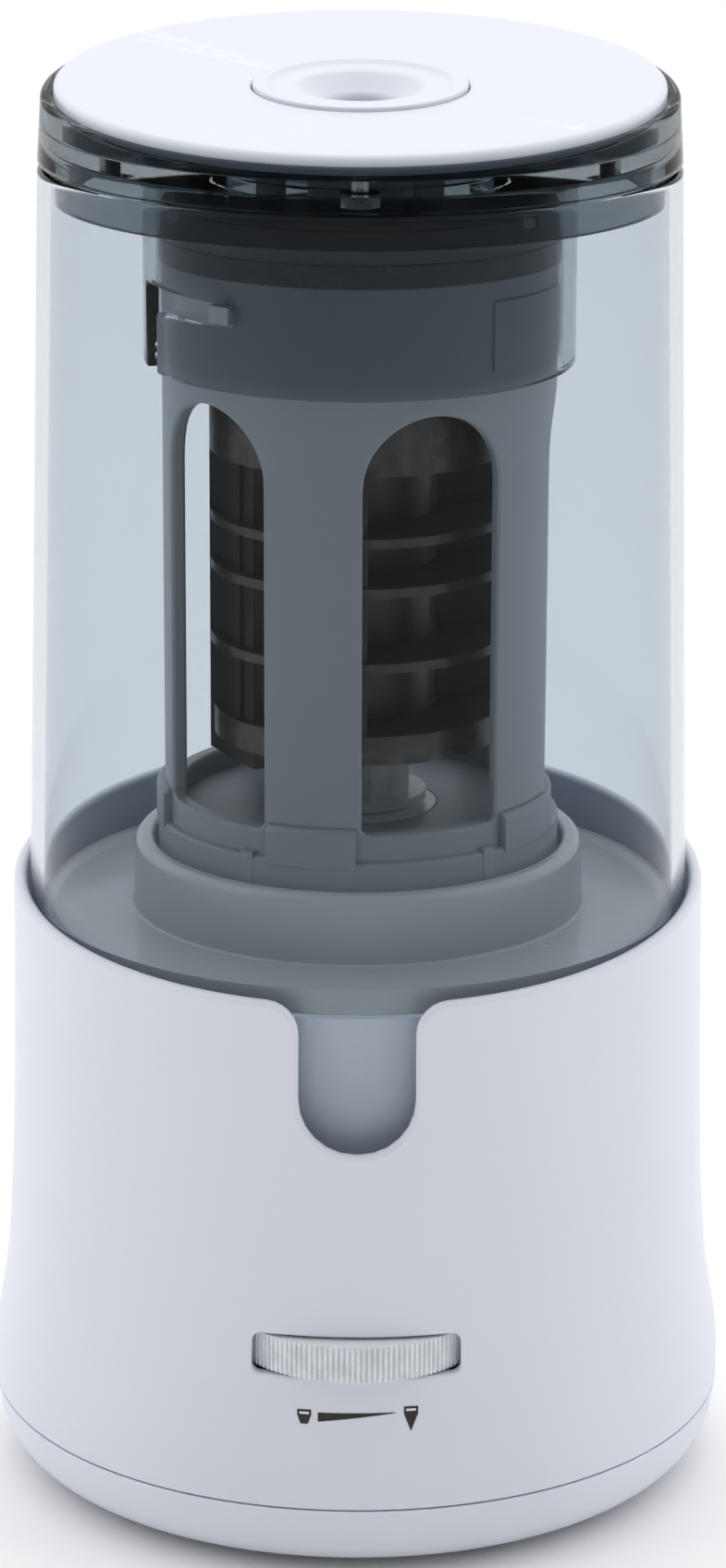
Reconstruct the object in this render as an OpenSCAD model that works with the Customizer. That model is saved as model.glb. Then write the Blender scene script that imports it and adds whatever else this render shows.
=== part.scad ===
/* [Overall size] */
// Outer radius of the clear shell at its top edge
case_r = 36.8; // [36:0.1:46]
// Height from the table to the back edge of the top plate
total_h = 170; // [165:0.5:210]
// Forward slope of the top plate and of the base rim, in degrees
slope = 5.3; // [0:0.1:7]

/* [Clear shell and shavings box] */
// How much the shell widens from its top edge down to the base rim
shell_draft = 2.1; // [0:0.1:3]
// Wall thickness of the clear shell
shell_wall = 1.6; // [1.2:0.1:2.2]
// Gap between the shell and the base rim round it
rim_gap = 0.3; // [0.2:0.05:0.6]
// Height of the underside of the shavings box floor
floor_z = 67.1; // [66:0.1:70]
// Thickness of the shavings box floor
floor_t = 2.2; // [1.5:0.1:3]
// Height of the lower end of the shell skirt inside the base
skirt_z = 48; // [47:0.5:56]
// Outer radius of the collar on the shavings box floor
collar_r = 26.6; // [25.5:0.1:30]
// Height of the collar above the floor
collar_h = 8.3; // [5:0.1:10]

/* [White base] */
// Wall thickness of the white base
base_wall = 1.6; // [1.2:0.1:2]
// How much the base widens from its rim to its widest circle
base_flare = 3.2; // [1:0.1:6]
// Height of the base rim above the middle axis
rim_z = 73.1; // [71:0.1:76]
// Height of the seam between the base and its bottom cover
seam_z = 9.5; // [8.5:0.1:10.5]
// Width of the finger notch in the front of the rim
notch_w = 13.3; // [10:0.1:20]
// Height of the lowest point of the finger notch
notch_z = 51.6; // [50:0.1:58]
// Radius of the top corners of the finger notch
notch_corner = 6; // [2:0.5:8]
// Height of the rubber feet below the bottom cover
foot_h = 1.2; // [0.8:0.1:2]

/* [Lid] */
// Height of the lower edge of the lid ring above the underside of the lid
lid_edge_drop = 12.7; // [11:0.1:15]
// Radius of the white top plate
plate_r = 34.8; // [30:0.1:36]
// How far the top plate stands above the lid ring
plate_proud = 1.1; // [0.4:0.1:2]
// Outer radius of the sleeve that holds the cutter cage
sleeve_r = 24.9; // [24.5:0.1:30]
// Wall thickness of that sleeve
sleeve_wall = 1.5; // [1:0.1:2]
// Length of the sleeve below the lid shelf
sleeve_len = 24.2; // [18:0.1:28]
// Radius of the pencil hole
pencil_r = 4.2; // [4:0.1:5.5]
// Radius of the raised ring round the pencil hole
guide_r = 12.3; // [9:0.1:15]

/* [Cutter cage] */
// Wall thickness of the cutter cage
cage_wall = 2; // [1.4:0.1:2.4]
// Number of arched windows round the cage
window_count = 5; // [3:1:7]
// Width of one arched window in degrees round the cage
window_deg = 42; // [20:1:60]
// Turn of the first window from the front, in degrees to the right
window_turn = 22.4; // [0:0.1:72]
// Height of the sill under the windows
sill_z = 83.7; // [83:0.1:88]
// Height of one window from sill to arch top
window_h = 48.3; // [35:0.1:50]
// Gap between the cage and the sleeve round it
sleeve_gap = 0.6; // [0.4:0.1:1]

/* [Cutter] */
// Slope of the roller cutter away from the middle axis, in degrees
cutter_tilt = 9.5; // [8:0.1:11]
// Radius of the roller cutter
cutter_r = 6; // [5:0.1:6.2]
// Length of the roller cutter
cutter_len = 24.5; // [18:0.5:26]
// Number of helical edges on the roller cutter
cutter_edges = 18; // [12:1:24]
// Radius of the cutter shaft
cutter_pin_r = 1.6; // [1.3:0.1:2]
// Radial running gap of every shaft in its bore
run_gap = 0.05; // [0.03:0.01:0.08]
// Radius of the turning cutter carrier
carrier_r = 17.4; // [16.8:0.1:18]
// Tooth size of the cutter gears, as pitch diameter over tooth count
cutter_mod = 0.85; // [0.8:0.01:0.88]
// Direction of the roller cutter round the middle axis, in degrees
cutter_dir = 60; // [0:7.5:352.5]

/* [Drive] */
// Radius of the hollow output shaft
shaft_r = 3; // [2.8:0.1:3.5]
// Radius of the central stop rod
rod_r = 1.5; // [1.2:0.1:1.5]
// Tooth size of the output gear pair
out_mod = 0.7; // [0.6:0.05:0.7]
// Tooth count of the output gear
out_teeth = 36; // [24:12:36]
// Tooth size of the motor gear pair
motor_mod = 0.5; // [0.4:0.05:0.5]
// Tooth count of the small gears of the output pair and the cutter pair
small_teeth = 12; // [12:1:12]
// Tooth count of the motor pinion
motor_teeth = 10; // [10:1:12]
// Radius of the motor can
motor_r = 10.5; // [8:0.1:10.8]
// Height of the motor can
motor_h = 29.9; // [24:0.1:32]
// Sideways place of the double gear
idler_x = 6; // [5:0.1:6.3]

/* [Point dial] */
// Radius of the thumb dial
dial_r = 14.9; // [13:0.1:16]
// Thickness of the thumb dial
dial_t = 4.2; // [3:0.1:4.4]
// Height of the middle of the thumb dial
dial_z = 27.6; // [24:0.1:29]
// How far the thumb dial stands out of the base
dial_proud = 2.2; // [1:0.1:3]
// Number of grip ribs round the thumb dial
dial_ribs = 148; // [60:2:160]
// Width of the dial slot
slot_w = 23.3; // [20:0.1:26]
// Height of the dial slot
slot_h = 4.8; // [4.6:0.1:6]

/* [Power] */
// Radius of one battery cell
cell_r = 7.1; // [7:0.05:7.25]
// Length of one battery cell
cell_h = 50; // [48:0.1:50.5]
// Sideways distance of the cells from the middle
cell_x = 23.5; // [23.2:0.1:25]
// Distance of the cells in front of and behind the middle
cell_y = 8; // [7.6:0.1:9]
// Travel of the battery door when it is unlatched
door_travel = 4; // [2:0.5:4]

/* [Hidden] */
$fn = 96;
eps = 0.01;
far = 200;

// radii that follow from the shell
shell_foot_r = case_r + shell_draft;
rim_in_r = shell_foot_r + rim_gap;
rim_r = rim_in_r + base_wall;
skirt_in_r = shell_foot_r - shell_wall;
drum_gap = 0.8;
drum_r = skirt_in_r - drum_gap;
drum_wall = 1.6;
drum_in_r = drum_r - drum_wall;
part_gap = 0.3;

// heights that follow from the whole height
slope_t = tan(slope);
plate_z = total_h - plate_r * slope_t - 0.1;
lid_edge_z = total_h - lid_edge_drop;
shell_top_z = lid_edge_z - 0.4;
ring_top_z = plate_z - plate_proud;
shelf_z = lid_edge_z + 1.3;
shelf_t = 1.8;
plate_t = 2.2;
cap_z = lid_edge_z - 8;
band_t = 2.5;
band_z = cap_z - band_t;
cap_t = 4.3;
cap_cavity = 2.9;
cap_top_z = cap_z + cap_t;

// bottom cover and deck heights
cover_z = foot_h;
cover_t = 3;
cover_top = cover_z + cover_t;
door_recess = 1.8;
ledge_z = 43.3;
ledge_t = 1.5;
deck_t = 1.8;
deck_top = floor_z - 0.6;
deck_z = deck_top - deck_t;
flange_z = ledge_z + ledge_t;
flange_t = 1.6;

// cage
cage_r = sleeve_r - sleeve_wall - sleeve_gap;
cage_in_r = cage_r - cage_wall;
cage_floor_z = sill_z - 4.3;
cage_floor_t = 1.8;
cage_skirt_r = cage_r + 0.8;
cage_skirt_z = floor_z + floor_t + 0.7;
arch_r = cage_r * sin(window_deg / 2);
arch_big_r = arch_r * 1.003;
arch_drop = sqrt(arch_big_r * arch_big_r - arch_r * arch_r);
arch_z = sill_z + window_h + (total_h - 170) - arch_big_r + arch_drop;
bush_r = 9.2;
stem_r = 6;
bush_z = cage_floor_z - 0.5;
bush_h = cage_floor_t + 0.9;
lug_az = -40;
lug_z = cap_z - 7.4;
lug_t = 2.1;
twist_deg = 32;

// cutter gears and axis
ring_teeth = 4 * small_teeth;
ring_pitch_r = ring_teeth * cutter_mod / 2;
pinion_pitch_r = small_teeth * cutter_mod / 2;
pinion_t = 2.6;
mesh_ease = 0.05;
cap_screw_r = 0.4;
cap_screw_at = (cage_r + ring_pitch_r + 1.1) / 2;
pinion_z = band_z + band_t / 2 + pinion_pitch_r * sin(cutter_tilt);
pinion_x = ring_pitch_r - mesh_ease - pinion_pitch_r * cos(cutter_tilt);
tip_z = pinion_z - (pinion_x - cutter_r / cos(cutter_tilt)) / tan(cutter_tilt);
blade_low_z = tip_z + 1;
blade_low_s = (blade_low_z - pinion_z) / cos(cutter_tilt);
carrier_low_z = tip_z - 3.4;
carrier_low_t = 3.4;
carrier_top_z = band_z - 1;
drum_low_z = tip_z + 30.5;
neck_r = 6.5;
ledge_rise = [7.6, 16.4, 22.2];

// drive train
shaft_bore_r = rod_r + part_gap;
out_pitch_r = out_teeth * out_mod / 2;
small_pitch_r = small_teeth * out_mod / 2;
big_teeth = 36;
big_pitch_r = big_teeth * motor_mod / 2;
motor_pitch_r = motor_teeth * motor_mod / 2;
idler_d = out_pitch_r + small_pitch_r + mesh_ease;
motor_d = big_pitch_r + motor_pitch_r + mesh_ease;
idler_y = sqrt(idler_d * idler_d - idler_x * idler_x);
motor_y = idler_y + sqrt(motor_d * motor_d - idler_x * idler_x);
idler_dir = atan2(idler_y, idler_x);
motor_dir = atan2(motor_y - idler_y, -idler_x);
frame_z = 45.3;
frame_t = 2;
frame_top = frame_z + frame_t;
frame_w = 15.8;
big_z = frame_top + 1.7;
big_t = 3.2;
out_z = big_z + big_t + 1;
out_t = 4;
plate2_z = out_z + out_t + 1.8;
plate2_t = 2;
plate2_top = plate2_z + plate2_t;
axle_r = 1.5;
dog_z = floor_z + floor_t + 0.7;
dog_disc_t = 1.8;
dog_lug_h = 3.8;
dog_r = 6.5;
dog_deg = 24;
hub_lug_z = dog_z + dog_disc_t + 0.4;
hub_disc_z = dog_z + dog_disc_t + dog_lug_h + 1;
motor_low_z = frame_z - motor_h;
pillar_xy = [[13, -13], [-13, -13], [11.5, 29.5], [-11.5, 29.5]];

// dial and stop rod
dial_y = -(rim_r + base_flare * 0.39 + dial_proud - dial_r);
dial_low_z = dial_z - dial_t / 2;
dial_top_z = dial_z + dial_t / 2;
hub_r = 4.5;
arm_z = dial_top_z + 2.1;
arm_t = 5;
rod_top_z = tip_z - 0.8;
axle_top_z = arm_z + arm_t + 3;
pin_r = 1.2;
pin_y = dial_y + dial_r + pin_r + 0.7;
pin_x = 5;

// interlock
plunger_x = -14;
plunger_y = -24;
plunger_r = 2;
plunger_top = floor_z - part_gap;
plunger_low = deck_z - 9.7;
lever_t = 0.5;
lever_z = plunger_low - 0.3 - lever_t;
lever_x = -4;
lever_len = 13;
switch_h = 5.8;
switch_w = 6;

// power
cell_z = cover_top + 2;
door_x = 31;
door_y = 16.5;
door_t = 1.4;
tongue_x = 12;
tongue_w = 6;
inlet_dir = 60;
inlet_z = 20;
inlet_w = 9;
inlet_r = 2.9;
boss_xy = 24;
boss_r = 3.2;
foot_r = 4;
foot_xy = [[14, -29], [-14, -29], [14, 29], [-14, 29]];
board_z = cover_top + 2.8;
board_t = 1.6;

// points of a spur gear outline, with involute flanks
function turned(p, a) = [p[0] * cos(a) - p[1] * sin(a), p[0] * sin(a) + p[1] * cos(a)];
function roll_deg(rb, r) = let (t = sqrt(max(0, r * r / (rb * rb) - 1))) t * 180 / PI - atan(t);
function flank_deg(n, m, r, slack) = let (rp = n * m / 2, rb = rp * cos(20))
    90 / n - slack / rp * 180 / PI - (roll_deg(rb, max(r, rb)) - roll_deg(rb, rp));
function gear_points(n, m, up, down, slack) = let (rp = n * m / 2, rb = rp * cos(20),
    rs = [rp - down * m, max(rb, rp - down * m + 0.1), rp, rp + up * m])
    [for (i = [0 : n - 1]) each concat(
        [for (k = [0 : 3]) turned([rs[k], 0], i * 360 / n - flank_deg(n, m, rs[k], slack))],
        [for (k = [3 : -1 : 0]) turned([rs[k], 0], i * 360 / n + flank_deg(n, m, rs[k], slack))])];

// turn a piece to a direction measured to the right of the front
module at_az(a) { rotate([0, 0, a - 90]) children(); }

// flat piece shape spanning an angle round the middle axis
module wedge2d(a0, a1, r) {
    n = ceil((a1 - a0) / 30);
    polygon(concat([[0, 0]], [for (i = [0 : n]) r * [cos(a0 + (a1 - a0) * i / n), sin(a0 + (a1 - a0) * i / n)]]));
}

module ring2d(ro, ri) { difference() { circle(r = ro); circle(r = ri); } }

// part of a ring between two directions to the right of the front
module arc_block(ri, ro, a0, a1, z0, z1) {
    translate([0, 0, z0]) linear_extrude(z1 - z0)
        intersection() { ring2d(ro, ri); wedge2d(a0 - 90, a1 - 90, ro * 1.3); }
}

module tube(ro, ri, h) { linear_extrude(h) ring2d(ro, ri); }

module round_rect(w, h, r) {
    square([w - 2 * r, h], center = true);
    square([w, h - 2 * r], center = true);
    for (sx = [-1, 1], sy = [-1, 1]) translate([sx * (w / 2 - r), sy * (h / 2 - r)]) circle(r = r, $fn = 32);
}

// everything under the sloped plane through a height on the middle axis
module under_slope(z) {
    translate([0, 0, z]) rotate([slope, 0, 0]) translate([-far / 2, -far / 2, -far]) cube([far, far, far]);
}

// frame whose z axis is the cutter axis, with its origin at the pinion
module on_cutter_axis() {
    rotate([0, 0, cutter_dir]) translate([pinion_x, 0, pinion_z]) rotate([0, cutter_tilt, 0]) children();
}

// ---- lid ----
module lid_plate() {
    color("white") difference() {
        union() {
            translate([0, 0, plate_z]) rotate([slope, 0, 0]) rotate_extrude()
                polygon([[guide_r, -plate_t], [plate_r, -plate_t], [plate_r, -0.6], [plate_r - 0.18, -0.18],
                    [plate_r - 0.6, 0], [plate_r - 2.2, 0], [guide_r, -0.8]]);
            intersection() {
                for (a = [30, 150, 270]) rotate([0, 0, a]) translate([29, 0, shelf_z + shelf_t]) cylinder(r = 2.6, h = 20);
                under_slope(plate_z - 1);
            }
        }
        for (a = [30, 150, 270]) rotate([0, 0, a]) translate([29, 0, shelf_z]) cylinder(r = 1, h = shelf_t + 3.4);
    }
}

module lid_ring() {
    wall_in = plate_r - 0.8;
    color([0.25, 0.29, 0.31, 0.6]) difference() {
        union() {
            intersection() {
                rotate_extrude() polygon([[wall_in, lid_edge_z], [case_r, lid_edge_z], [case_r - 0.5, total_h],
                    [wall_in, total_h]]);
                under_slope(ring_top_z);
            }
            translate([0, 0, shelf_z]) tube(wall_in + 0.4, guide_r + 3, shelf_t);
            translate([0, 0, shelf_z - 5.6]) tube(case_r - shell_wall - 0.4, case_r - shell_wall - 1.9, 5.6 + eps);
            rotate_extrude() polygon([[sleeve_r - sleeve_wall, shelf_z - sleeve_len], [sleeve_r - 0.6, shelf_z - sleeve_len],
                [sleeve_r, shelf_z - sleeve_len + 0.8], [sleeve_r, shelf_z + eps], [sleeve_r - sleeve_wall, shelf_z + eps]]);
            for (a = [0 : 60 : 300]) at_az(a + 15) translate([sleeve_r - sleeve_wall - 2.6, -0.6, cap_top_z + 1])
                cube([3, 1.2, shelf_z - cap_top_z - 1 + eps]);
        }
        translate([0, 0, plate_z]) rotate([slope, 0, 0]) translate([0, 0, -plate_t]) cylinder(r = plate_r + 0.1, h = 20);
        for (a = [30, 150, 270]) rotate([0, 0, a]) translate([29, 0, shelf_z - 1]) cylinder(r = 1.3, h = shelf_t + 2);
        for (t = [0, 180]) {
            arc_block(sleeve_r - sleeve_wall - 0.5, sleeve_r + 1, lug_az - twist_deg - 4.5 + t, lug_az + 4.5 + t,
                lug_z - 0.3, lug_z + lug_t + 0.3);
            arc_block(sleeve_r - sleeve_wall - 0.5, sleeve_r + 1, lug_az - twist_deg - 4.5 + t, lug_az - twist_deg + 4.5 + t,
                shelf_z - sleeve_len - 1, lug_z + lug_t + 0.3);
        }
    }
}

module lid_screws() {
    color("silver") for (a = [30, 150, 270]) rotate([0, 0, a]) translate([29, 0, shelf_z - 1.6]) {
        difference() {
            cylinder(r = 2.2, h = 1.6, $fn = 48);
            for (c = [0, 90]) rotate([0, 0, c]) translate([-1.4, -0.25, -eps]) cube([2.8, 0.5, 0.9]);
        }
        cylinder(r = 1, h = 1.6 + shelf_t + 3, $fn = 48);
    }
}

module pencil_guide() {
    low_z = cap_top_z + 0.6;
    color("white") difference() {
        union() {
            translate([0, 0, plate_z]) rotate([slope, 0, 0]) rotate_extrude()
                polygon([[0, -plate_t - 1.2], [guide_r - 2, -plate_t - 1.2], [guide_r, -plate_t], [guide_r, -0.6],
                    [guide_r - 0.3, -0.35], [guide_r - 1.2, -0.35], [guide_r - 1.7, -0.75], [0, -0.75]]);
            translate([0, 0, low_z]) cylinder(r = pencil_r + 1.8, h = plate_z - 3 - low_z);
            for (a = [46, 166, -74]) at_az(a) translate([guide_r - 1.9, 0, low_z]) cylinder(r = 1.7, h = plate_z - 3 - low_z, $fn = 48);
        }
        translate([0, 0, low_z - 1]) cylinder(r = pencil_r, h = 20);
        translate([0, 0, plate_z]) rotate([slope, 0, 0]) translate([0, 0, -3.4]) cylinder(r1 = pencil_r - 0.4, r2 = pencil_r + 4.4, h = 3.6);
    }
}

// ---- cutter cage ----
module cage_windows(depth) {
    for (i = [0 : window_count - 1]) at_az(window_turn + i * 360 / window_count)
        rotate([90, 0, 90]) translate([0, 0, cage_in_r - depth]) linear_extrude(depth + cage_wall + 3) {
            translate([0, arch_z - arch_drop]) circle(r = arch_big_r);
            translate([-arch_r, sill_z]) square([2 * arch_r, arch_z - sill_z - arch_drop / 2]);
        }
}

module cutter_cage() {
    gap = 360 / window_count;
    color([0.42, 0.45, 0.46]) {
        difference() {
            union() {
                translate([0, 0, cage_floor_z]) cylinder(r = cage_r, h = band_z - cage_floor_z);
                translate([0, 0, cage_skirt_z]) cylinder(r = cage_skirt_r, h = cage_floor_z + 1 - cage_skirt_z);
                for (i = [0 : window_count - 1]) {
                    mid = window_turn + (i + 0.5) * gap;
                    half = (gap - window_deg) / 2 - 2;
                    arc_block(cage_r - 1, cage_skirt_r + 0.2, mid - half, mid + half, cage_floor_z + 0.5, sill_z + 0.8);
                    arc_block(cage_r - 1, cage_skirt_r + 0.1, mid - half - 8, mid - half - 4, cage_skirt_z + 3, cage_floor_z + 1.6);
                }
                for (t = [0, 180]) arc_block(cage_r - 1, sleeve_r - 0.4, lug_az - 3.5 + t, lug_az + 3.5 + t, lug_z, lug_z + lug_t);
                arc_block(cage_r - 1, sleeve_r - sleeve_wall - part_gap, 40, 75, lug_z - 5.5, lug_z + 2.5);
            }
            translate([0, 0, cage_floor_z + cage_floor_t]) cylinder(r = cage_in_r, h = band_z - cage_floor_z);
            translate([0, 0, carrier_top_z - 1.5]) cylinder(r = ring_pitch_r + 1.1, h = 10);
            translate([0, 0, cage_skirt_z - 1]) cylinder(r = cage_in_r + 0.6, h = cage_floor_z - cage_skirt_z + 1);
            translate([0, 0, cage_floor_z - 1]) cylinder(r = bush_r, h = 5);
            cage_windows(6);
            at_az(-15) translate([cage_r - 0.15, -0.1, sill_z + 2]) cube([1, 0.2, band_z - sill_z - 3]);
            for (a = [0, 120, 240]) at_az(a + 55) translate([cap_screw_at, 0, band_z - 6]) cylinder(r = cap_screw_r, h = 10, $fn = 32);
        }
    }
}

module ring_gear() {
    color("black") translate([0, 0, band_z]) linear_extrude(band_t) difference() {
        circle(r = sleeve_r - sleeve_wall - part_gap);
        polygon(gear_points(ring_teeth, cutter_mod, 1.15, 0.7, -0.12));
        for (a = [0, 120, 240]) at_az(a + 55) translate([cap_screw_at, 0]) circle(r = cap_screw_r, $fn = 32);
    }
}

module cage_cap() {
    color([0.3, 0.33, 0.35]) difference() {
        union() {
            translate([0, 0, cap_z]) cylinder(r = cage_r, h = cap_t - 0.6);
            translate([0, 0, cap_z]) cylinder(r = cage_r - 1.2, h = cap_t);
        }
        translate([0, 0, cap_z - 1]) cylinder(r = ring_pitch_r + 1, h = cap_cavity + 1);
        translate([0, 0, cap_z]) cylinder(r = neck_r + run_gap, h = 10);
        for (a = [0, 120, 240]) at_az(a + 55) {
            translate([cap_screw_at, 0, cap_z - 1]) cylinder(r = cap_screw_r, h = 10, $fn = 32);
            translate([cap_screw_at, 0, cap_z + cap_t - 1.6]) cylinder(r = 1.5, h = 3, $fn = 32);
        }
    }
}

module cage_screws() {
    color("silver") for (a = [0, 120, 240]) at_az(a + 55) translate([cap_screw_at, 0, 0]) {
        translate([0, 0, band_z - 5]) cylinder(r = cap_screw_r, h = band_t + cap_t + 3.9, $fn = 32);
        difference() {
            translate([0, 0, cap_z + cap_t - 1.6]) cylinder(r = 0.95, h = 1, $fn = 32);
            translate([-1.2, -0.15, cap_z + cap_t - 1]) cube([2.4, 0.3, 1]);
        }
    }
}

module cage_bush() {
    color([0.75, 0.72, 0.6]) translate([0, 0, bush_z]) difference() {
        union() {
            cylinder(r = bush_r, h = bush_h - 0.4);
            translate([0, 0, bush_h - 0.4]) cylinder(r = stem_r + 1.6, h = 0.4);
        }
        translate([0, 0, -1]) cylinder(r = stem_r + run_gap, h = bush_h + 2);
    }
}

// ---- turning carrier and roller cutter ----
module cutter_carrier() {
    color([0.13, 0.11, 0.1]) difference() {
        union() {
            translate([0, 0, drum_low_z]) cylinder(r = carrier_r, h = carrier_top_z - drum_low_z);
            translate([0, 0, carrier_low_z]) cylinder(r = carrier_r - 0.4, h = carrier_low_t);
            translate([0, 0, carrier_low_z]) cylinder(r = neck_r + 2.5, h = carrier_top_z - carrier_low_z);
            translate([0, 0, carrier_top_z - eps]) cylinder(r = neck_r, h = cap_top_z - 0.4 - carrier_top_z);
            for (rise = ledge_rise) translate([0, 0, tip_z + rise]) cylinder(r = carrier_r - 0.1, h = 1.1);
            for (a = [-60, 0, 100, 220]) at_az(a) translate([6, -1, carrier_low_z]) cube([carrier_r - 7, 2, drum_low_z - carrier_low_z]);
            intersection() {
                at_az(-62) translate([carrier_r - 3.4, -8, tip_z - 5.6]) cube([1.8, 12, drum_low_z - tip_z + 6]);
                translate([0, 0, tip_z - 10]) cylinder(r = carrier_r, h = 60);
            }
        }
        on_cutter_axis() {
            translate([0, 0, blade_low_s - 0.4]) cylinder(r = cutter_r + 0.45, h = cutter_len + 0.8);
            translate([0, 0, blade_low_s + cutter_len]) cylinder(r = cutter_pin_r + run_gap, h = 60);
            translate([0, 0, blade_low_s - 3.6]) cylinder(r = cutter_pin_r - 0.2 + run_gap, h = 6);
            translate([0, 0, -pinion_t / 2 - 0.5]) cylinder(r = pinion_pitch_r + 1.4, h = 20);
        }
        translate([0, 0, tip_z]) cylinder(r1 = 0.5, r2 = pencil_r + 0.1, h = (pencil_r - 0.4) / tan(cutter_tilt));
        translate([0, 0, tip_z + (pencil_r - 0.4) / tan(cutter_tilt) - eps]) cylinder(r = pencil_r + 0.1, h = 80);
        translate([0, 0, carrier_low_z - 8]) cylinder(r = shaft_bore_r + 0.2, h = tip_z + 1 - carrier_low_z + 8);
    }
}

module carrier_hub() {
    color([0.8, 0.82, 0.82]) difference() {
        union() {
            translate([0, 0, hub_disc_z]) cylinder(r = stem_r, h = carrier_low_z - hub_disc_z);
            translate([0, 0, bush_z + bush_h + part_gap]) cylinder(r = stem_r + 2, h = 1);
            translate([0, 0, carrier_low_z - 1.4]) cylinder(r = stem_r + 2.6, h = 1.4);
            for (a = [20, 140, 260]) at_az(a) translate([stem_r - 1, -0.7, bush_z + bush_h + part_gap]) cube([3, 1.4, carrier_low_z - bush_z - bush_h - part_gap]);
            translate([0, 0, hub_lug_z]) linear_extrude(hub_disc_z - hub_lug_z + eps) intersection() {
                ring2d(stem_r, shaft_r + 0.4);
                for (t = [90, 270]) wedge2d(t - dog_deg / 2, t + dog_deg / 2, 20);
            }
        }
        translate([0, 0, hub_lug_z - 1]) cylinder(r = shaft_bore_r + 0.2, h = 60);
        translate([0, 0, hub_disc_z + 1.1]) tube(stem_r + 1, stem_r - 0.6, 0.9);
    }
}

module carrier_clip() {
    color("silver") translate([0, 0, hub_disc_z + 1.15]) linear_extrude(0.8) difference() {
        ring2d(stem_r + 1.5, stem_r - 0.55);
        translate([0, -1.5]) square([20, 3]);
    }
}

module cutter_blade() {
    depth = 0.7;
    color([0.55, 0.56, 0.58]) on_cutter_axis() {
        translate([0, 0, blade_low_s]) linear_extrude(cutter_len, twist = -50, slices = 14)
            polygon([for (i = [0 : cutter_edges - 1]) each [
                turned([cutter_r, 0], i * 360 / cutter_edges),
                turned([cutter_r - 0.1, 0], (i + 0.2) * 360 / cutter_edges),
                turned([cutter_r - depth, 0], (i + 0.45) * 360 / cutter_edges),
                turned([cutter_r - depth, 0], (i + 0.85) * 360 / cutter_edges)]]);
        translate([0, 0, blade_low_s - 3.2]) cylinder(r = cutter_pin_r - 0.2, h = 3.2 + 1, $fn = 48);
        translate([0, 0, blade_low_s + cutter_len - 1]) cylinder(r = cutter_pin_r, h = -blade_low_s - cutter_len + 1 + pinion_t / 2 + 0.3, $fn = 48);
    }
}

module blade_pinion() {
    color([0.8, 0.7, 0.35]) on_cutter_axis() translate([0, 0, -pinion_t / 2]) linear_extrude(pinion_t) difference() {
        polygon(gear_points(small_teeth, cutter_mod, 0.85, 1.1, 0.1));
        circle(r = cutter_pin_r, $fn = 48);
    }
}

// ---- shavings box ----
module shavings_container() {
    top_in = case_r - shell_wall;
    floor_top = floor_z + floor_t;
    color([0.6, 0.66, 0.7, 0.35]) rotate_extrude() polygon([
        [skirt_in_r, skirt_z], [shell_foot_r, skirt_z], [shell_foot_r, rim_z], [case_r, shell_top_z],
        [top_in, shell_top_z], [skirt_in_r, floor_top + 1], [skirt_in_r - 1, floor_top], [collar_r, floor_top],
        [collar_r - 0.2, floor_top + collar_h - 1], [collar_r - 1.1, floor_top + collar_h],
        [cage_skirt_r + 1, floor_top + collar_h], [cage_skirt_r + 0.5, floor_top + collar_h - 0.8],
        [cage_skirt_r + 0.5, floor_top], [dog_r + 0.9, floor_top], [dog_r + 0.9, floor_z], [skirt_in_r, floor_z]]);
}

// ---- base ----
module base_skin(inset) {
    rotate_extrude() polygon(concat([[0, seam_z + 0.1]],
        [for (p = [[1, 0.1], [0.99, 4], [0.88, 7.5], [0.69, 11], [0.5, 15], [0.345, 21], [0.22, 29],
            [0.125, 39], [0.06, 50], [0.02, 60]])
            [rim_r + base_flare * p[0] - inset, seam_z + p[1]]],
        [[rim_r - inset, total_h], [0, total_h]]));
}

module notch_shape() {
    top = rim_z - rim_r * slope_t;
    translate([0, notch_z + notch_w / 2]) circle(r = notch_w / 2);
    translate([-notch_w / 2, notch_z + notch_w / 2]) square([notch_w, far]);
    difference() {
        translate([-notch_w / 2 - notch_corner, top - notch_corner]) square([notch_w + 2 * notch_corner, far]);
        for (sx = [-1, 1]) translate([sx * (notch_w / 2 + notch_corner), top - notch_corner]) circle(r = notch_corner);
    }
}

module base_housing() {
    color([0.9, 0.91, 0.93]) difference() {
        union() {
            intersection() {
                difference() {
                    base_skin(0);
                    difference() {
                        base_skin(base_wall);
                        translate([0, 0, ledge_z]) tube(rim_r + 1, drum_r + 0.5, ledge_t);
                    }
                }
                under_slope(rim_z);
            }
            intersection() {
                for (sx = [-1, 1], sy = [-1, 1]) {
                    translate([sx * boss_xy, sy * boss_xy, seam_z + 2]) cylinder(r = boss_r, h = ledge_z - seam_z - 2 + eps);
                    rotate([0, 0, atan2(sy, sx)]) translate([boss_xy * sqrt(2), -1, seam_z + 3]) cube([20, 2, ledge_z - seam_z - 3 + eps]);
                }
                base_skin(base_wall / 2);
            }
        }
        translate([0, -rim_in_r + 8, 0]) rotate([90, 0, 0]) linear_extrude(20) notch_shape();
        translate([0, dial_y, dial_z]) rotate([90, 0, 0]) linear_extrude(40) round_rect(slot_w, slot_h, 1);
        for (sx = [-1, 1], sy = [-1, 1]) translate([sx * boss_xy, sy * boss_xy, 0]) cylinder(r = 1.2, h = seam_z + 14, $fn = 48);
        rotate([0, 0, inlet_dir]) translate([rim_r - 4, 0, inlet_z]) rotate([0, 90, 0]) cylinder(r = inlet_r + 1.5, h = 12);
    }
}

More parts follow.
